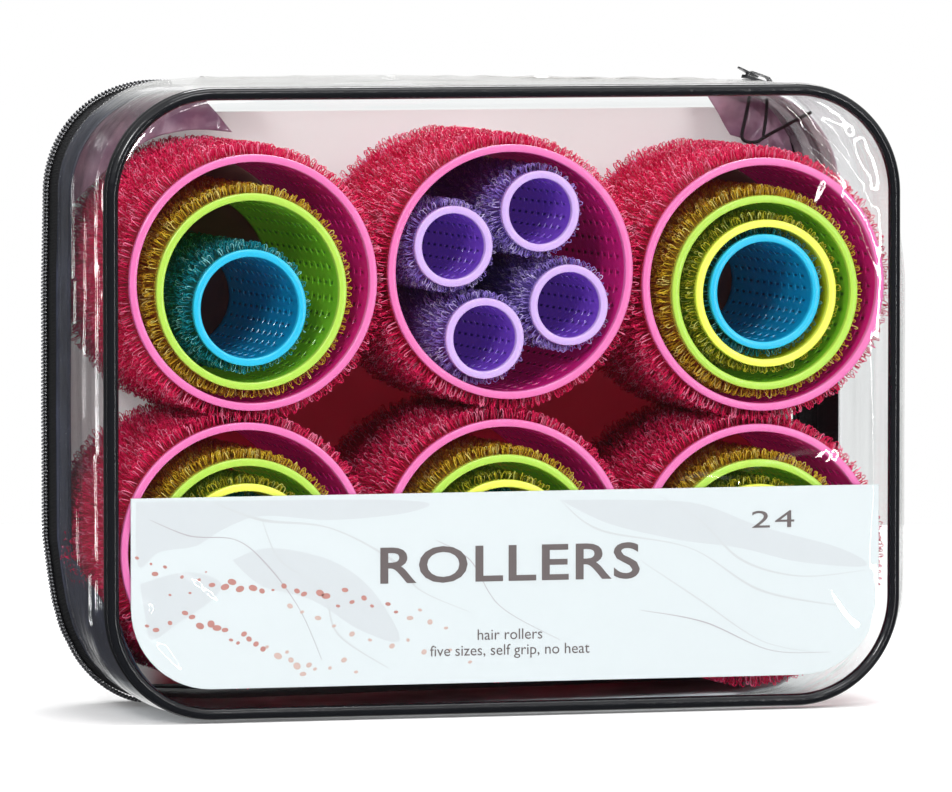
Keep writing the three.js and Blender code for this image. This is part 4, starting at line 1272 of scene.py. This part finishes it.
def tail_mat():
    m, nt, out = new_mat("tape_tail_painted_pink_sheen")
    # painted reflection: the pink-purple tones and the pink tint of what shows through stand in for the pink rollers
    # reflected in the clear film over the dark tape end
    tr = nt.nodes.new("ShaderNodeBsdfTransparent"); tr.inputs["Color"].default_value = (0.72, 0.56, 0.64, 1)
    p = node(nt, "ShaderNodeBsdfPrincipled", Roughness=0.2)
    p.inputs["Specular IOR Level"].default_value = 0.8
    n1 = node(nt, "ShaderNodeTexNoise", Scale=120.0, Detail=3.0)
    nt.links.new(coords(nt), n1.inputs["Vector"])
    r1 = nt.nodes.new("ShaderNodeValToRGB")
    r1.color_ramp.elements[0].position = 0.35; r1.color_ramp.elements[0].color = srgb(140, 104, 132)
    r1.color_ramp.elements[1].position = 0.7; r1.color_ramp.elements[1].color = srgb(214, 184, 202)
    nt.links.new(n1.outputs[0], r1.inputs[0])
    nt.links.new(r1.outputs[0], p.inputs["Base Color"])
    nt.links.new(bump_noise(nt, 130.0, 0.6, 0.001, detail=2.0), p.inputs["Normal"])
    ms = node(nt, "ShaderNodeMixShader"); ms.inputs[0].default_value = 0.6
    nt.links.new(tr.outputs[0], ms.inputs[1]); nt.links.new(p.outputs[0], ms.inputs[2])
    nt.links.new(ms.outputs[0], out.inputs["Surface"])
    return m
M_TAIL = tail_mat()

tail("tape_tail_left", [(-91.5, 117.0), (-86.5, 122.0), (-80, 127.6), (-72, 132.4), (-62, 134.2), (-53.0, 133.6)],
     [(-93.2, 121.0), (-91.0, 131.0), (-86.0, 138.0), (-79, 142.0), (-69, 143.6), (-61.4, 143.4)], 47.0, 3)
tail("tape_tail_right", [(70.8, 131.6), (75, 130.2), (80, 127.4), (84.5, 123.6), (88.0, 119.0)],
     [(64.2, 142.4), (69, 142.2), (75.0, 141.0), (80.5, 138.0), (85.5, 131.0)], 52.4, 5)

# ------------------------------------------------------------------ tie thread
THREAD = [(74.8, 50.0, 141.4), (74.5, 49.8, 140.3), (73.9, 49.4, 137.9), (73.0, 48.9, 134.6),
          (72.3, 48.5, 131.8), (72.6, 48.1, 130.5), (74.0, 47.8, 130.0), (75.8, 47.6, 130.1),
          (77.3, 47.4, 131.0), (79.1, 45.4, 132.4), (81.0, 42.6, 133.9), (83.1, 39.4, 135.6),
          (85.4, 36.2, 137.3)]
def thread_mat():
    m, nt, out = new_mat("thread_black")
    p = node(nt, "ShaderNodeBsdfPrincipled", Roughness=0.5)
    p.inputs["Base Color"].default_value = srgb(24, 22, 26)
    w = node(nt, "ShaderNodeTexWave", Scale=900.0, Distortion=1.0)
    w.bands_direction = "DIAGONAL"
    nt.links.new(coords(nt), w.inputs["Vector"])
    b = node(nt, "ShaderNodeBump", Strength=0.8, Distance=0.0002)
    nt.links.new(w.outputs[1], b.inputs["Height"])
    nt.links.new(b.outputs["Normal"], p.inputs["Normal"])
    nt.links.new(p.outputs[0], out.inputs["Surface"])
    return m
M_THREAD = thread_mat()

def thread_curve(name, P, r, mat):
    cu = bpy.data.curves.new(name, "CURVE")
    cu.dimensions = "3D"
    Q = catmull(P, 4)
    sp = cu.splines.new("POLY")
    sp.points.add(len(Q) - 1)
    for pt, q in zip(sp.points, Q):
        pt.co = (q[0] * MM, (q[1] - CY) * MM, q[2] * MM, 1)
    cu.bevel_depth = r * MM
    cu.bevel_resolution = 3
    cu.use_fill_caps = True
    cu.materials.append(mat)
    return cu, float(np.linalg.norm(np.diff(Q, axis=0), axis=1).sum()) * MM

cu, length = thread_curve("thread_tail", THREAD, 0.42, M_THREAD)
thread = obj("thread_tail", cu, "case", ["tie_thread"])
cu, _ = thread_curve("thread_strand", [(79.0, 50.2, 140.2), (78.9, 49.8, 138.6), (78.3, 48.8, 135.4), (77.3, 47.6, 131.4)], 0.4, M_THREAD)
obj("thread_strand", cu, "case", ())

# ------------------------------------------------------------------ slider and pull: the CAD shapes, with black enamel
def enamel():
    m, nt, out = new_mat("slider_enamel")
    p = node(nt, "ShaderNodeBsdfPrincipled", Roughness=0.25)
    p.inputs["Base Color"].default_value = srgb(20, 21, 24)
    p.inputs["Specular IOR Level"].default_value = 0.8
    p.inputs["Coat Weight"].default_value = 0.4
    nt.links.new(bump_noise(nt, 900.0, 0.25, 0.0002), p.inputs["Normal"])
    nt.links.new(p.outputs[0], out.inputs["Surface"])
    return m
M_ENAMEL = enamel()
for nm in ("zipper_slider", "zipper_pull"):
    o = frame["nodes"][nm]
    if not o.material_slots:
        o.data.materials.append(M_ENAMEL)
    for s_ in o.material_slots:
        s_.material = M_ENAMEL
    bev = o.modifiers.new("bevel", "BEVEL")
    bev.width = 0.0002
    bev.segments = 2
    bev.limit_method = "ANGLE"

# ------------------------------------------------------------------ stage and light
def floor_mat():
    m, nt, out = new_mat("studio_floor")
    p = node(nt, "ShaderNodeBsdfPrincipled", Roughness=0.9)
    p.inputs["Base Color"].default_value = (0.92, 0.92, 0.92, 1)
    p.inputs["Specular IOR Level"].default_value = 0.1
    p.inputs["Emission Color"].default_value = (1, 1, 1, 1)
    p.inputs["Emission Strength"].default_value = 0.12
    nt.links.new(p.outputs[0], out.inputs["Surface"])
    return m
me = bpy.data.meshes.new("floor")
me.from_pydata([(0.62 * math.cos(a_), 0.62 * math.sin(a_), -0.0004) for a_ in np.arange(96) / 96 * TAU], [], [tuple(range(96))])
me.materials.append(floor_mat())
floor = bpy.data.objects.new("floor", me)
bpy.context.scene.collection.objects.link(floor)
floor.visible_glossy = False

world = bpy.data.worlds.new("studio")
bpy.context.scene.world = world
world.use_nodes = True
wt = world.node_tree
wt.nodes.clear()
w_out = wt.nodes.new("ShaderNodeOutputWorld")
# the sweep is white; round the horizon the studio is dim, so clear sheet shows only its highlights
bg_white = node(wt, "ShaderNodeBackground", Strength=1.0)
bg_white.inputs["Color"].default_value = (1, 1, 1, 1)
bg_room = node(wt, "ShaderNodeBackground", Strength=1.0)
tc = wt.nodes.new("ShaderNodeTexCoord")
sep = wt.nodes.new("ShaderNodeSeparateXYZ")
wt.links.new(tc.outputs["Generated"], sep.inputs[0])
ramp = wt.nodes.new("ShaderNodeValToRGB")
ramp.color_ramp.elements[0].position = 0.0
ramp.color_ramp.elements[0].color = (0.05, 0.05, 0.055, 1)
ramp.color_ramp.elements[1].position = 0.85
ramp.color_ramp.elements[1].color = (0.8, 0.8, 0.8, 1)
e_ = ramp.color_ramp.elements.new(0.2); e_.color = (0.07, 0.07, 0.075, 1)
e_ = ramp.color_ramp.elements.new(0.5); e_.color = (0.42, 0.42, 0.42, 1)
wt.links.new(sep.outputs["Z"], ramp.inputs[0])
wx = wt.nodes.new("ShaderNodeMapRange"); wx.interpolation_type = "SMOOTHSTEP"
wx.inputs["From Min"].default_value = -0.02; wx.inputs["From Max"].default_value = 0.2
wy = wt.nodes.new("ShaderNodeMapRange"); wy.interpolation_type = "SMOOTHSTEP"
wy.inputs["From Min"].default_value = 0.1; wy.inputs["From Max"].default_value = 0.6
wt.links.new(sep.outputs["X"], wx.inputs["Value"]); wt.links.new(sep.outputs["Y"], wy.inputs["Value"])
wxy = node(wt, "ShaderNodeMath", _operation="MULTIPLY")
wt.links.new(wx.outputs["Result"], wxy.inputs[0]); wt.links.new(wy.outputs["Result"], wxy.inputs[1])
wcol = wt.nodes.new("ShaderNodeMix"); wcol.data_type = "RGBA"
wcol.inputs["B"].default_value = (0.85, 0.85, 0.84, 1)
wt.links.new(wxy.outputs[0], wcol.inputs["Factor"])
fz = wt.nodes.new("ShaderNodeMapRange"); fz.interpolation_type = "SMOOTHSTEP"
fz.inputs["From Min"].default_value = 0.08; fz.inputs["From Max"].default_value = 0.34
fy = wt.nodes.new("ShaderNodeMapRange"); fy.interpolation_type = "SMOOTHSTEP"
fy.inputs["From Min"].default_value = 0.1; fy.inputs["From Max"].default_value = -0.4
fy.inputs["To Min"].default_value = 0.0; fy.inputs["To Max"].default_value = 1.0
wt.links.new(sep.outputs["Z"], fz.inputs["Value"]); wt.links.new(sep.outputs["Y"], fy.inputs["Value"])
fzy = node(wt, "ShaderNodeMath", _operation="MULTIPLY")
wt.links.new(fz.outputs["Result"], fzy.inputs[0]); wt.links.new(fy.outputs["Result"], fzy.inputs[1])
wfront = wt.nodes.new("ShaderNodeMix"); wfront.data_type = "RGBA"
wfront.inputs["B"].default_value = (1.05, 1.05, 1.06, 1)
wt.links.new(fzy.outputs[0], wfront.inputs["Factor"])
wt.links.new(ramp.outputs[0], wfront.inputs["A"])
wt.links.new(wfront.outputs["Result"], wcol.inputs["A"])
wt.links.new(wcol.outputs["Result"], bg_room.inputs["Color"])
lp = wt.nodes.new("ShaderNodeLightPath")
wmix = wt.nodes.new("ShaderNodeMixShader")
wt.links.new(lp.outputs["Is Camera Ray"], wmix.inputs[0])
wt.links.new(bg_room.outputs[0], wmix.inputs[1])
wt.links.new(bg_white.outputs[0], wmix.inputs[2])
wt.links.new(wmix.outputs[0], w_out.inputs["Surface"])

def area(name, az, el, dist, size, size_y, power, target=(0, 0, 0.07)):
    a, e = math.radians(az), math.radians(el)
    back = Vector((math.sin(a) * math.cos(e), -math.cos(a) * math.cos(e), math.sin(e)))
    L = bpy.data.lights.new(name, "AREA")
    L.shape = "RECTANGLE"; L.size = size; L.size_y = size_y; L.energy = power
    o = bpy.data.objects.new(name, L)
    bpy.context.scene.collection.objects.link(o)
    o.location = Vector(target) + back * dist
    o.rotation_mode = "QUATERNION"
    o.rotation_quaternion = back.to_track_quat("Z", "Y")
    o.visible_camera = False
    return o

area("key_left", -30, 24, 1.1, 0.22, 0.22, 5.5)
area("fill_front", 6, 30, 1.2, 0.24, 0.16, 2.2)
area("strip_right", 26, 2, 1.1, 0.03, 0.6, 2.2)
area("strip_behind_left", -152, 4, 0.9, 0.012, 0.9, 0.22)
area("top_soft", 20, 74, 0.9, 0.6, 0.3, 3.0)
area("rim_back", 160, 35, 1.0, 0.5, 0.4, 4.5)
bpy.context.scene.view_settings.view_transform = "Standard"
bpy.context.scene.view_settings.look = "None"
bpy.context.scene.cycles.transparent_max_bounces = 24
